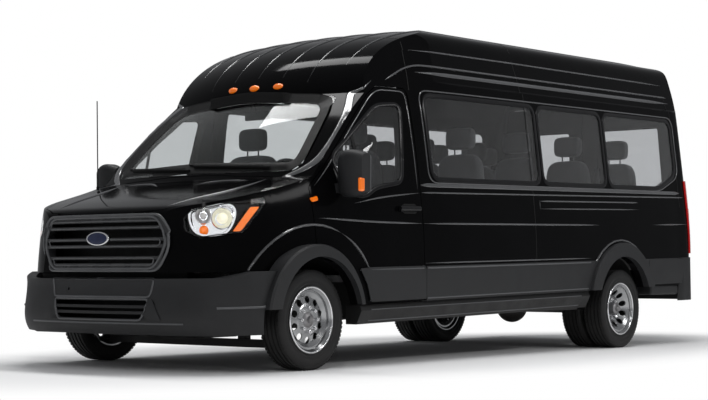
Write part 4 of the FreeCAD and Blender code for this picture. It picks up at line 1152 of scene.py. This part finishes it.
    def bumper(self) -> None:
        """The bumper's panel edge, the edge of its intake, its lips and its side creases as lines of painted
        highlight, and the intake's corners.
        """
        skin = self.car.skin("bumper_front")
        self.car.add(ribbon("bumper_panel_edge", skin, FRONT_VIEW, traced(*PANEL_OUTLINE),
                            ridge(0.014, 0.006), True, radius=0.02), Paint.GREY_TRIM)
        self.car.both(patch("bumper_corner_left", skin, FRONT_VIEW, traced(*INTAKE_CORNER), 0.003, 0.004,
                            radius=0.002), Paint.TRIM)
        self.car.add(ribbon("bumper_intake_edge", skin, FRONT_VIEW, traced(*INTAKE_OUTLINE),
                            ridge(0.014, 0.007), True, radius=0.03), Paint.GREY_TRIM)
        lips = [ribbon(f"bumper_lip_{z}", skin, FRONT_VIEW, traced((840, -y, z), (880, 0, z), (840, y, z)),
                       ridge(0.012, 0.005)) for z, y in ((640, 900), (330, 700))]
        self.car.add(joined(lips, "bumper_lips"), Paint.GREY_TRIM)
        self.car.both(ribbon("bumper_crease_left", skin, LEFT_VIEW, traced((430, 431), (760, 428)),
                             ridge(0.016, 0.006)), Paint.GREY_TRIM)

    def hood(self) -> None:
        """The hood's creases and its two vents by the cowl, as lines of painted highlight."""
        skin = self.car.skin("hood")
        for side in Side:
            for name, path, (width, height), radius, taper in HOOD_LINES:
                line = ribbon(f"hood_{name}_{side.word}", skin, TOP_VIEW,
                              [mm(dx, side.value * y, z) for dx, y, z in path], ridge(width, height),
                              radius=radius, taper=taper)
                self.car.add(line, Paint.EDGE, "hood")

    def screen(self) -> None:
        """The dark edge of the windscreen, the wipers and the inner mirror."""
        self.car.add(ribbon("screen_edge", self.car.skin("windscreen"), FRONT_VIEW, traced(*SCREEN_OUTLINE),
                            band(0.075, 0.002), True, 0.025, 0.12), Paint.SEAL)
        skin = self.car.skin("windscreen", "windscreen_frame")
        arms = []
        for y in (-700, -20):
            arm = traced((-60, y + 660, 1322), (-60, y, 1352))
            blade = traced((-60, y + 600, 1338), (-60, y - 60, 1366))
            arms += [ribbon(f"wiper_{y}", skin, FRONT_VIEW, arm, ridge(0.014, 0.022)),
                     ribbon(f"blade_{y}", skin, FRONT_VIEW, blade, ridge(0.008, 0.014))]
        self.car.add(joined(arms, "wipers"), Paint.SEAL)
        centre, half = mm(-640, 0, 1745), Vector((0.012, 0.12, 0.035))
        glass = block("inner_mirror", centre - half, centre + half, 0.01)
        stem = rod("inner_mirror_stem", 0.008, centre, centre + Vector((0.03, 0, 0.07)))
        self.car.add(joined([glass, stem], "inner_mirror"), Paint.SEAL)


FRONT_DOOR = "front_door_left"
DOOR_WINDOW = ((-262, 1388), (-800, 1772), (-1050, 1790), (-955, 1238), (-660, 1196), (-540, 1130),
               (-360, 1150))
DOOR_EDGE = ((-62, 1195), (-190, 1300), (-760, 1826), (-858, 1884), (-1122, 1884), (-1122, 1190))
DOOR_CLADDING = ((-404, 652), (-1138, 652), (-1138, 424), (-512, 424), (-478, 540))
HANDLE = (-988, 1052)
HANDLE_SECTION = ((0.017, 0.006), (0.019, 0.018), (0.012, 0.03), (0, 0.034), (-0.012, 0.03), (-0.019, 0.018),
                  (-0.017, 0.006))
PANES = (((-1310, 1265), (-1310, 1872), (-2752, 1872), (-2752, 1265)),
         ((-2798, 1265), (-2798, 1872), (-3787, 1872), (-3787, 1265)),
         ((-3833, 1265), (-3833, 1872), (-5030, 1872), (-5030, 1385), (-4700, 1265)))
GLASSHOUSE = ((-1268, 1240), (-1268, 1905), (-5085, 1905), (-5085, 1372), (-4715, 1240))
TAIL_CLADDING = ((-4420, 645), (-5185, 645), (-5185, 430), (-4458, 430))
# name, path, width and height of the section, length over which the ends thin out
# every line below is drawn in the lighter paint as painted highlight; belt and gutter_lower are broad low
# ridges for a soft band of painted highlight
CREASES = (("waist", ((-1165, 950), (-2600, 945), (-3600, 942)), 0.014, 0.005, 0.4),
           ("shoulder", ((-1165, 1168), (-2600, 1175), (-5150, 1190)), 0.012, 0.005, 0.1),
           ("rail_top", ((-2720, 1128), (-4300, 1135)), 0.012, 0.005, 0.1),
           ("rail_bottom", ((-2720, 1068), (-4300, 1075)), 0.010, 0.004, 0.4),
           ("rail_end", ((-2715, 1060), (-2715, 1136)), 0.010, 0.005, 0.1),
           ("tail_waist", ((-4560, 945), (-5170, 950)), 0.014, 0.005, 0.4),
           ("gutter", ((-960, 1960), (-1250, 2092), (-2600, 2092), (-5120, 2092)), 0.014, 0.012, 0.1),
           ("cladding_line", ((-1165, 672), (-3470, 672)), 0.012, 0.009, 0.4),
           ("belt", ((-1165, 1222), (-5080, 1228)), 0.03, 0.005, 0.1),
           ("gutter_lower", ((-1300, 2040), (-5120, 2040)), 0.03, 0.006, 0.4),
           ("roof_edge", ((-1300, 2205), (-2600, 2210), (-5080, 2205)), 0.012, 0.006, 0.4))
SEAMS = (("seam_middle", ((-2627, 640), (-2627, 2230))), ("seam_front", ((-1180, 1900), (-1230, 2200))),
         ("seam_rear", ((-5060, 1100), (-5060, 2080))))
BROW = (0.018, 0.012)
FRONT_BROW_RADIUS = 0.615
# name, axle, radius of the brow and its first and last angle, radius and inner edge of the liner
ARCHES = (("front", AXLE_FRONT, FRONT_BROW_RADIUS, 18, 112, 0.462, 0.70),
          ("rear", AXLE_REAR, 0.572, 22, 158, 0.44, 0.66))
LINER_OUTER = 1.0
RIBS = (-690, -460, -230, 0, 230, 460, 690)
POD = ((-2230, -150, 2440), (-2230, 150, 2440), (-2560, 110, 2440), (-2560, -110, 2440))
ROOF_HEIGHT = 2300


class Flank(Part):
    """Seams, creases, window frames, handles and arches of both sides, and the roof."""

    def build(self) -> None:
        """Builds every piece of the sides and the roof."""
        self.door()
        self.mirror()
        self.panes()
        self.lines()
        self.lower()
        self.arches()
        self.roof()

    def strip(self, name: str, skin: Skin, path: Sequence[Vector], section: Sequence[Pair], paint: Paint,
              body: str = "body", **shape: Any) -> None:
        """Runs a section along both sides.

        Args:
            name: the name without its side.
            skin: the surface it follows.
            path: its corners on the left side.
            section: offset across and height of each point of the section.
            paint: its finish.
            body: the body that carries the left one.
            shape: closed, step, radius and taper, as for ribbon.
        """
        self.car.both(ribbon(f"{name}_left", skin, LEFT_VIEW, path, section, **shape), paint, body)

    def sheet(self, name: str, skin: Skin, path: Sequence[Vector], paint: Paint, body: str,
              *shape: float) -> None:
        """Lays a panel on both sides.

        Args:
            name: the name without its side.
            skin: the surface it follows.
            path: its corners on the left side.
            paint: its finish.
            body: the body that carries the left one.
            shape: height, thickness, step and radius, as for patch.
        """
        self.car.both(patch(f"{name}_left", skin, LEFT_VIEW, path, *shape), paint, body)

    def door(self) -> None:
        """The front door's window frame, divider, cladding and handle, with lines of painted highlight along
        its creases, brow, edge, cladding and A-pillar.
        """
        skin = self.car.skin("door_front_left", "door_glass_left")
        self.strip("door_frame", skin, traced(*DOOR_WINDOW), band(0.03, 0.004), Paint.GLOSS_TRIM,
                   FRONT_DOOR, closed=True, step=0.018, radius=0.07)
        self.strip("door_divider", skin, traced((-500, 1150), (-505, 1555)), band(0.028, 0.004), Paint.SEAL,
                   FRONT_DOOR)
        self.strip("door_crease", skin, traced((-60, 985), (-600, 960), (-1135, 950)), ridge(0.014, 0.005),
                   Paint.EDGE, FRONT_DOOR, radius=0.2, taper=0.3)
        self.strip("door_shoulder", skin, traced((-420, 1085), (-700, 1130), (-1135, 1165)),
                   ridge(0.012, 0.004), Paint.EDGE, FRONT_DOOR, radius=0.2, taper=0.3)
        thick = 0.007
        self.sheet("door_cladding", skin, traced(*DOOR_CLADDING), Paint.TRIM, FRONT_DOOR, thick, thick,
                   0.03, 0.006)
        raised = [(across, height + thick) for across, height in ridge(0.010, 0.004)]
        trims = [ribbon(f"door_cladding_line_{z}", skin, LEFT_VIEW, traced((start, z), (-1136, z)), raised)
                 for z, start in ((638, -412), (434, -508))]
        self.car.both(joined(trims, "door_cladding_lines_left"), Paint.GREY_TRIM, FRONT_DOOR)
        self.strip("door_brow", skin, arc(AXLE_FRONT, FRONT_BROW_RADIUS, 114, 152, 8), ridge(*BROW),
                   Paint.EDGE, FRONT_DOOR, radius=0, taper=0.2)
        self.strip("door_edge", skin, traced(*DOOR_EDGE), ridge(0.009, 0.004), Paint.EDGE, FRONT_DOOR,
                   radius=0.05, taper=0.2)
        self.strip("pillar_line", self.car.skin("windscreen_frame", "fender_left", "roof"),
                   traced((60, 1212), (-130, 1338), (-715, 1876), (-820, 1945)), ridge(0.014, 0.006),
                   Paint.EDGE, radius=0.1, taper=0.2)
        x, z = HANDLE
        self.sheet("door_cup", skin, traced((x - 100, z - 34), (x + 70, z - 34), (x + 70, z + 34),
                                            (x - 100, z + 34)), Paint.SEAL, FRONT_DOOR, 0.0015, 0.003)
        self.strip("door_handle", skin, traced((x - 118, z), (x + 112, z)), HANDLE_SECTION, Paint.GLOSS_TRIM,
                   FRONT_DOOR, step=0.012, radius=0)

    def mirror(self) -> None:
        """Mirror glass, amber repeater, a line of painted highlight on the rim and the small amber marker
        ahead of the door.
        """
        low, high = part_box("mirror_left")
        glass = block("mirror_glass_left", (low.x - 0.002, 1.10, 1.175), (low.x + 0.006, 1.225, 1.365),
                      0.003)
        self.car.both(glass, Paint.CHROME, FRONT_DOOR, "gloss_trim")
        amber = block("mirror_amber_left", (high.x - 0.07, high.y - 0.02, 1.16),
                      (high.x - 0.015, high.y + 0.003, 1.25), 0.012)
        self.car.both(amber, Paint.AMBER_LENS, FRONT_DOOR)
        self.strip("mirror_rim", self.car.skin("mirror_left"), traced((-322, 1140), (-330, 1420)),
                   ridge(0.012, 0.004), Paint.GREY_TRIM, FRONT_DOOR, step=0.012, radius=0, taper=0.05)
        self.sheet("side_marker", self.car.skin("fender_left", "windscreen_frame"),
                   traced((-8, 1088), (10, 1112), (-62, 1128), (-70, 1100)), Paint.AMBER_LENS, "body",
                   0.006, 0.008, 0.008, 0.012)

    def panes(self) -> None:
        """Frames round the side panes, a painted-highlight outline round all three and the sill behind."""
        skin = self.car.skin("body_side_left", "side_glass_left")
        for number, outline in enumerate(PANES, 1):
            self.strip(f"pane_frame_{number}", skin, traced(*outline), band(0.034, 0.005), Paint.GLOSS_TRIM,
                       closed=True, radius=0.09)
        self.strip("glasshouse", skin, traced(*GLASSHOUSE), ridge(0.011, 0.006), Paint.EDGE, closed=True,
                   radius=0.10)
        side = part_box("body_side_left")[1].y * 1000
        sill = block("tail_sill_left", mm(-4985, side - 150, 330), mm(-4480, side - 6, 424), 0.02)
        self.car.both(sill, Paint.TRIM)

    def lines(self) -> None:
        """Creases and the rail recess as lines of painted highlight, and the seams."""
        skin = self.car.skin("body_side_left", "side_glass_left", "cladding_left", "roof")
        for name, path, width, height, taper in CREASES:
            self.strip(name, skin, traced(*path), ridge(width, height), Paint.EDGE, radius=0.15, taper=taper)
        for name, path in SEAMS:
            self.strip(name, skin, traced(*path), band(0.007, 0.0012), Paint.SEAL)

    def lower(self) -> None:
        """The cladding's tail, lines of painted highlight along the cladding's edges and the rocker, and the
        running board.
        """
        self.sheet("tail_cladding", self.car.skin("body_side_left"), traced(*TAIL_CLADDING), Paint.TRIM,
                   "body", 0.008, 0.008, 0.03, 0.01)
        cladding = self.car.skin("cladding_left")
        self.strip("cladding_edge", cladding, traced((-1170, 638), (-3430, 638)), ridge(0.012, 0.005),
                   Paint.GREY_TRIM)
        self.strip("cladding_foot", cladding, traced((-1170, 428), (-3400, 428)), ridge(0.010, 0.004),
                   Paint.GREY_TRIM)
        rocker = self.car.skin("rockers")
        lines = [ribbon(f"rocker_line_{z}", rocker, LEFT_VIEW, traced((-560, z), (-3320, z)),
                        ridge(0.008, 0.004)) for z in (296, 372)]
        self.car.both(joined(lines, "rocker_lines_left"), Paint.GREY_TRIM, slot="steel_painted")
        board = block("running_board_left", mm(-3330, 955, 300), mm(-520, 1030, 318), 0.006)
        self.car.both(board, Paint.STEEL_BLACK)

    def arches(self) -> None:
        """The brows over the wheel arches as lines of painted highlight, and the dark liners inside."""
        skin = self.car.skin("fender_left", "body_side_left", "door_front_left")
        for name, axle, radius, start, end, _, _ in ARCHES:
            self.strip(f"brow_{name}", skin, arc(axle, radius, start, end, 12), ridge(*BROW),
                       Paint.EDGE, radius=0, taper=0.2)
        for name, axle, _, _, _, radius, inner in ARCHES:
            edge = [(axle + radius, y, TYRE_RADIUS) for y in (inner, LINER_OUTER)]
            liner = meshed(f"liner_{name}_left", edge, [(0, 1)])
            with editing(liner):
                bpy.ops.mesh.spin(steps=40, angle=math.pi, center=(axle, 0, TYRE_RADIUS), axis=(0, 1, 0))
            modify(liner, "SOLIDIFY", thickness=0.004, offset=1)
            smooth(liner)
            self.car.both(liner, Paint.SEAL)

    def roof(self) -> None:
        """Ribs along the roof as lines of painted highlight, the seams across it and the low pod in its
        middle.
        """
        skin = self.car.skin("roof")
        ribs = [ribbon(f"rib_{y}", skin, TOP_VIEW,
                       traced((-660 if abs(y) < 500 else -800, y, ROOF_HEIGHT), (-5080, y, ROOF_HEIGHT)),
                       ridge(0.014, 0.008), step=0.03, radius=0, taper=0.5) for y in RIBS]
        self.car.add(joined(ribs, "roof_ribs"), Paint.EDGE)
        for name, dx in (("front", -1240), ("middle", -2640)):
            path = traced((dx, -860, ROOF_HEIGHT), (dx, 860, ROOF_HEIGHT))
            seam = ribbon(f"roof_seam_{name}", skin, TOP_VIEW, path, band(0.008, 0.0015))
            self.car.add(seam, Paint.SEAL)
        pod = patch("roof_pod", skin, TOP_VIEW, traced(*POD), 0.05, 0.06, 0.025, 0.06)
        self.car.add(pod, Paint.GLOSS_TRIM)


REAR_FRAME = ((0.15, 1.29), (0.15, 1.85), (0.82, 1.85), (0.82, 1.29))
REAR_PLATE = ((0.20, 0.98), (0.72, 0.98), (0.72, 1.09), (0.20, 1.09))


class Tail(Part):
    """Rear lamp fields, window frames, hinges, handle and blank plate."""

    @staticmethod
    def rear(points: Sequence[Pair]) -> list[Vector]:
        """The places of points of the rear face, by y and height in metres."""
        return [on_body((-3.07, y, z)) for y, z in points]

    def build(self) -> None:
        """Builds every piece of the rear."""
        lamps = self.car.skin("tail_lamps")
        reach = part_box("tail_lamps")[1].y - 0.05
        for side in Side:
            sign, word = side.value, side.word
            for name, low, high, paint in (("pale", 0.98, 1.09, Paint.WHITE_LENS),
                                           ("amber", 1.12, 1.20, Paint.AMBER_LENS)):
                path = [Vector((-3, sign * reach, z)) for z in (low, high)]
                lens = ribbon(f"tail_{name}_{word}", lamps, REAR_VIEW, path, band(0.05, 0.003), radius=0)
                self.car.add(lens, paint)
            skin = self.car.skin(f"door_rear_{word}", f"rear_glass_{word}")
            frame = ribbon(f"rear_frame_{word}", skin, REAR_VIEW,
                           self.rear([(sign * y, z) for y, z in REAR_FRAME]), band(0.03, 0.004), True)
            self.car.add(frame, Paint.GLOSS_TRIM, f"rear_door_{word}")
            for z in (1.42, 1.95):
                hinge = ribbon(f"rear_hinge_{int(z * 100)}_{word}", skin, REAR_VIEW,
                               self.rear([(sign * 0.80, z), (sign * 0.895, z)]), ridge(0.05, 0.022))
                self.car.add(hinge, Paint.BODY, f"rear_door_{word}")
        grip = ribbon("rear_handle", self.car.skin("door_rear_right"), REAR_VIEW,
                      self.rear([(-0.06, 1.10), (-0.24, 1.10)]), ridge(0.04, 0.03))
        self.car.add(grip, Paint.GLOSS_TRIM, "rear_door_right")
        plate = patch("plate_rear", self.car.skin("door_rear_left"), REAR_VIEW, self.rear(REAR_PLATE), 0.008,
                      0.004, 0.03, 0.012)
        self.car.add(plate, Paint.WHITE_LENS, "rear_door_left", "gloss_trim")


# every y below is that of the left wheels
FRONT_TYRE = 0.935
REAR_INNER_TYRE = 0.784
REAR_OUTER_TYRE = 0.996
TREAD_RADIUS = 0.3245
GROOVE_RADIUS = 0.3155
GROOVES = (-0.052, -0.018, 0.018, 0.052)
TYRE_WALL = ((0.3215, 0.074), (0.311, 0.085), (0.300, 0.0885), (0.2985, 0.0862), (0.285, 0.0895),
             (0.265, 0.0892), (0.263, 0.0875), (0.245, 0.085), (0.2415, 0.0868), (0.232, 0.083),
             (0.2235, 0.0765), (0.214, 0.072), (0.212, 0.060))
RIM_EDGE = [(0.211 + 0.006 * math.cos(turn), 0.083 + 0.005 * math.sin(turn))
            for turn in (i * math.tau / 10 for i in range(10))]
LUGS = 72
NUTS = 8
NUT_CIRCLE = 0.078
# name, axle, y of the hub plate, how far the hub stands out of it, y of the outer tyre
HUBS = (("front", AXLE_FRONT, 0.990, 0.0, FRONT_TYRE), ("rear", AXLE_REAR, 0.983, 0.05, REAR_OUTER_TYRE))


def turned(x: float, degrees: float) -> Matrix:
    """A turn about a wheel's axle.

    Args:
        x: the axle's place.
        degrees: the angle.

    Returns:
        The turn as a matrix.
    """
    centre = Vector((x, 0, TYRE_RADIUS))
    turn = Matrix.Rotation(math.radians(degrees), 4, "Y")
    return Matrix.Translation(centre) @ turn @ Matrix.Translation(-centre)


class Wheels(Part):
    """Tyres with tread and walls, and the hubs and nuts of the rims."""

    def build(self) -> None:
        """Builds every wheel."""
        self.tyres(self.tyre("tread_front_left", FRONT_TYRE, AXLE_FRONT), "front_wheel", "tyre_front")
        pair = joined([self.tyre("inner", REAR_INNER_TYRE, AXLE_REAR),
                       self.tyre("outer", REAR_OUTER_TYRE, AXLE_REAR)], "treads_rear_left")
        self.tyres(pair, "rear_wheels", "tyres_rear")
        for name, x, y, dish, tyre in HUBS:
            body = "front_wheel_left" if name == "front" else "rear_wheels_left"
            self.car.both(self.hub(f"hub_{name}_left", x, y, y + dish), Paint.STEEL, body)
            self.car.both(self.nuts(f"nuts_{name}_left", x, y), Paint.CHROME, body, "steel_bare")
            edge = lathe(f"rim_edge_{name}_left", RIM_EDGE, (x, tyre, TYRE_RADIUS), 96)
            self.car.both(edge, Paint.CHROME, body)

    def tyres(self, left: Piece, body: str, node: str) -> None:
        """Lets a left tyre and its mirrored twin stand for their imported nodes.

        Args:
            left: the left tyre.
            body: the body that carries it, without its side.
            node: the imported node, without its side.
        """
        right = copied(left, MIRRORED)
        right.name = left.name.replace("left", "right")
        for piece, side in ((left, Side.LEFT), (right, Side.RIGHT)):
            self.car.add(piece, Paint.TYRE, f"{body}_{side.word}")
            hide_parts(f"{node}_{side.word}")

    def tyre(self, name: str, y: float, x: float) -> Piece:
        """One tyre: grooved crown, bare walls with raised rings, and shoulder lugs.

        Args:
            name: its name.
            y: its middle.
            x: its axle.

        Returns:
            The tyre.
        """
        crown: list[Pair] = []
        for middle in GROOVES:
            crown += [(TREAD_RADIUS, middle - 0.0065), (GROOVE_RADIUS, middle - 0.005),
                      (GROOVE_RADIUS, middle + 0.005), (TREAD_RADIUS, middle + 0.0065)]
        profile = [*crown, *TYRE_WALL, *[(radius, -across) for radius, across in reversed(TYRE_WALL)]]
        tyre = lathe(name, profile, (x, y, TYRE_RADIUS), 120)
        lug = block(f"{name}_lug", (x - 0.009, y + 0.060, TYRE_RADIUS + 0.3190),
                    (x + 0.009, y + 0.081, TYRE_RADIUS + 0.3240), 0)
        modify(lug, "BEVEL", width=0.0012, segments=1)
        middle_of = Matrix.Translation(Vector((0, y, 0)))
        flip = middle_of @ MIRRORED @ middle_of.inverted()
        lugs = [tyre]
        for k in range(LUGS):
            turn = turned(x, 360 / LUGS * k)
            lugs += [copied(lug, turn), copied(lug, turn @ flip)]
        bpy.data.objects.remove(lug)
        return joined(lugs, name)

    def hub(self, name: str, x: float, y: float, out: float) -> Piece:
        """The stepped hub in the middle of the rim.

        Args:
            name: its name.
            x: its axle.
            y: the face of the hub plate.
            out: the y from which its cap is measured.

        Returns:
            The hub.
        """
        profile = [(0.0005, out + 0.034), (0.018, out + 0.034), (0.022, out + 0.030), (0.024, out + 0.012),
                   (0.040, out + 0.008), (0.047, out + 0.002), (0.052, y + 0.002), (0.052, y - 0.004),
                   (0.0305, y - 0.004), (0.0305, y + 0.009), (0.0005, y + 0.009)]
        return lathe(name, profile, (x, 0, TYRE_RADIUS), 48)

    def nuts(self, name: str, x: float, y: float) -> Piece:
        """Nuts on studs round the hub.

        Args:
            name: their name.
            x: the hub's axle.
            y: the face of the hub plate.

        Returns:
            All of them as one piece.
        """
        height = TYRE_RADIUS + NUT_CIRCLE
        nut = shaped(name, "cylinder", vertices=6, radius=0.0135, depth=0.020,
                     location=(x, y + 0.008, height), rotation=(math.pi / 2, 0, 0))
        settle(nut)
        modify(nut, "BEVEL", width=0.0025, segments=2)
        stud = rod("stud", 0.006, (x, y + 0.012, height), (x, y + 0.026, height), 12)
        first = joined([nut, stud], name)
        return joined([first, *[copied(first, turned(x, 360 / NUTS * k)) for k in range(1, NUTS)]], name)


PAD_SWELL = 0.22 * 0.25
PAD_SQUARENESS = 6
# front edge, middle and width of every seat, in millimetres
SEATS = ((-560, 480, 500), (-560, -480, 500),
         *((-1750 - 800 * row, y, 400) for row in range(4) for y in (-720, -300, 660)))


def pad(name: str, low: Sequence[float], high: Sequence[float]) -> Piece:
    """A padded form: a block whose faces swell, whose edges are full and whose face is channelled.

    Args:
        name: the piece's name.
        low: its lowest corner.
        high: its highest corner.

    Returns:
        The pad.
    """
    piece = block(name, low, high, 0)
    with editing(piece):
        bpy.ops.mesh.subdivide(number_cuts=4)
    middle = Vector([(a + b) / 2 for a, b in zip(low, high)])
    half = Vector([(b - a) / 2 for a, b in zip(low, high)])
    for vertex in piece.data.vertices:
        q = Vector([(c - m) / h for c, m, h in zip(vertex.co, middle, half)])
        reach = sum(abs(c) ** PAD_SQUARENESS for c in q) ** (1 / PAD_SQUARENESS)
        q = q / reach * (1 - PAD_SWELL * (reach - 1))
        dip = 0.05 * math.cos(q.x * math.pi * 2.5) * (abs(q.y) < 0.75)
        flat = 1 - (0.02 + dip)
        vertex.co = middle + Vector((q.x * half.x, q.y * half.y, q.z * half.z * flat))
    modify(piece, "SUBSURF", levels=1, render_levels=1)
    smooth(piece, 60)
    return piece


class Cabin(Part):
    """Padded seats with headrests, and the steering wheel's boss."""

    def build(self) -> None:
        """Builds every seat and the boss."""
        for number, (front, y, width) in enumerate(SEATS, 1):
            seat = self.seat(f"seat_{number}", front, y, width)
            if number == 1:
                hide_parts("seats")
            self.car.add(seat, Paint.FABRIC)
        boss = mm(-480, 480, 1235)
        hub = rod("wheel_boss", 0.055, boss - Vector((0.02, 0, -0.012)), boss + Vector((0.03, 0, -0.02)), 32)
        self.car.add(hub, Paint.SEAL)

    def seat(self, name: str, front: float, y: float, width: float) -> Piece:
        """One seat: a cushion, a back and a headrest on two stems.

        Args:
            name: its name.
            front: its front edge in millimetres from the front axle.
            y: its middle.
            width: its width.

        Returns:
            The seat as one padded form.
        """
        half = width / 2
        rear = front - (500 if width > 450 else 430)
        cushion = pad(f"{name}_cushion", mm(rear, y - half, 862), mm(front, y + half, 1022))
        back = pad(f"{name}_back", mm(rear - 105, y - half, 900), mm(rear + 10, y + half, 1500))
        rest = pad(f"{name}_rest", mm(rear - 100, y - 125, 1525), mm(rear - 15, y + 125, 1700))
        stems = [rod(f"{name}_stem", 0.006, mm(rear - 55, place, 1470), mm(rear - 55, place, 1560), 10)
                 for place in (y - 55, y + 55)]
        return joined([cushion, back, rest, *stems], name)


class Underside(Part):
    """The exhaust and the drive shaft."""

    def build(self) -> None:
        """Builds both pieces."""
        shaft = rod("drive_shaft", 0.04, (AXLE_FRONT - 0.9, 0, 0.46), (AXLE_REAR + 0.28, 0, 0.37), 24)
        self.car.add(shaft, Paint.STEEL_BLACK)
        muffler = rod("muffler", 0.085, (0.35, -0.56, 0.40), (-0.35, -0.56, 0.40), 32)
        pipe = rod("pipe", 0.028, (0.9, -0.56, 0.40), (0.3, -0.56, 0.40))
        self.car.add(joined([muffler, pipe], "exhaust"), Paint.STEEL)


# studio

SURROUND = (0.30, 0.305, 0.315, 1)
WHITE = (1, 1, 1, 1)
FLOOR_COLOUR = (0.93, 0.93, 0.93, 1)
FLOOR_REACH = (1 / 4.3, 1 / 2.0, 0)
FADE_START = 0.85
FADE_END = 1.3
# name, place, aim, size, power in watts
LAMPS = (("overhead", (0.5, 0, 8.0), (0, 0, 0), (9, 1.4), 500),
         ("front_left", (9.0, 6.0, 5.5), (1.5, 0, 1.0), (0.5, 4), 120),
         ("left_side", (-2.5, 9.5, 5.5), (-0.5, 0, 1.2), (8, 0.5), 170))


def seen_straight(tree: Tree) -> Socket:
    """Tells what the camera sees, itself or through glass.

    Args:
        tree: the tree that needs to know.

    Returns:
        A socket that gives one there and zero elsewhere.
    """
    path = add_node(tree, "LightPath").outputs
    return add_node(tree, "Math", {0: path["Is Camera Ray"], 1: path["Is Transmission Ray"]},
                    operation="MAXIMUM").outputs[0]


@dataclass
class Studio:
    """The camera, lamps, floor and world."""

    camera_place: Point = (10.143, 7.679, 0.646)
    yaw: float = -141.5
    pitch: float = 2.521
    lens: float = 81.25

    def build(self) -> None:
        """Builds the whole studio."""
        self.camera()
        self.world()
        self.floor()
        self.lamps()

    def camera(self) -> None:
        """Places the camera at the photograph's viewpoint."""
        data = bpy.data.cameras.new("camera")
        data.lens = self.lens
        data.sensor_width = 36
        data.clip_end = 200
        camera = placed("camera", data)
        camera.location = self.camera_place
        camera.rotation_euler = (math.radians(90 + self.pitch), 0, math.radians(self.yaw - 90))
        bpy.context.scene.camera = camera

    def world(self) -> None:
        """A soft surround that the camera and glass see as white."""
        world = bpy.data.worlds.new("studio")
        bpy.context.scene.world = world
        world.use_nodes = True
        tree = world.node_tree
        shade = add_node(tree, "Mix", {"A": SURROUND, "B": WHITE, "Factor": seen_straight(tree)},
                         data_type="RGBA")
        feed(tree, tree.nodes["Background"], {"Color": shade.outputs["Result"], "Strength": 1.0})

    def floor(self) -> None:
        """A wide white floor that keeps the vehicle's shadow and fades into the surround."""
        floor = shaped("studio_floor", "plane", size=160, location=(0, 0, 0))
        material, shader, place = new_material("studio_floor")
        tree = material.node_tree
        feed(tree, shader, {"Base Color": FLOOR_COLOUR, "Roughness": 0.9, "Specular IOR Level": 0.0})
        stretch = add_node(tree, "VectorMath", {0: place, 1: FLOOR_REACH}, operation="MULTIPLY")
        reach = add_node(tree, "VectorMath", {0: stretch.outputs["Vector"]}, operation="LENGTH")
        fade = add_node(tree, "MapRange", {"Value": reach.outputs["Value"], "From Min": FADE_START,
                                           "From Max": FADE_END}, interpolation_type="SMOOTHSTEP")
        share = add_node(tree, "Math", {0: fade.outputs["Result"], 1: seen_straight(tree)},
                         operation="MULTIPLY")
        white = add_node(tree, "Emission")
        mixed = add_node(tree, "MixShader", {"Fac": share.outputs[0], 1: shader.outputs["BSDF"],
                                             2: white.outputs["Emission"]})
        feed(tree, tree.nodes["Material Output"], {"Surface": mixed.outputs["Shader"]})
        floor.data.materials.append(material)

    def lamps(self) -> None:
        """Soft rectangular lamps: one broad one overhead and two narrow ones."""
        for name, place, aim, (width, height), power in LAMPS:
            data = bpy.data.lights.new(name, "AREA")
            data.shape = "RECTANGLE"
            data.size, data.size_y = width, height
            data.energy = power
            lamp = placed(name, data)
            lamp.location = place
            lamp.rotation_euler = (Vector(aim) - Vector(place)).to_track_quat("-Z", "Y").to_euler()


def main() -> None:
    """Dresses the vehicle, piece by piece."""
    logging.basicConfig(level=logging.INFO, format="%(name)s: %(message)s")
    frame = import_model()
    deselect()
    vehicle = Vehicle(frame["nodes"])
    for part in (Nose, Flank, Tail, Wheels, Cabin, Underside):
        part(vehicle).build()
        LOG.info("%s built", part.__name__)
    Studio().build()
    bpy.context.scene.view_settings.view_transform = "Standard"


if __name__ == "__main__":
    main()
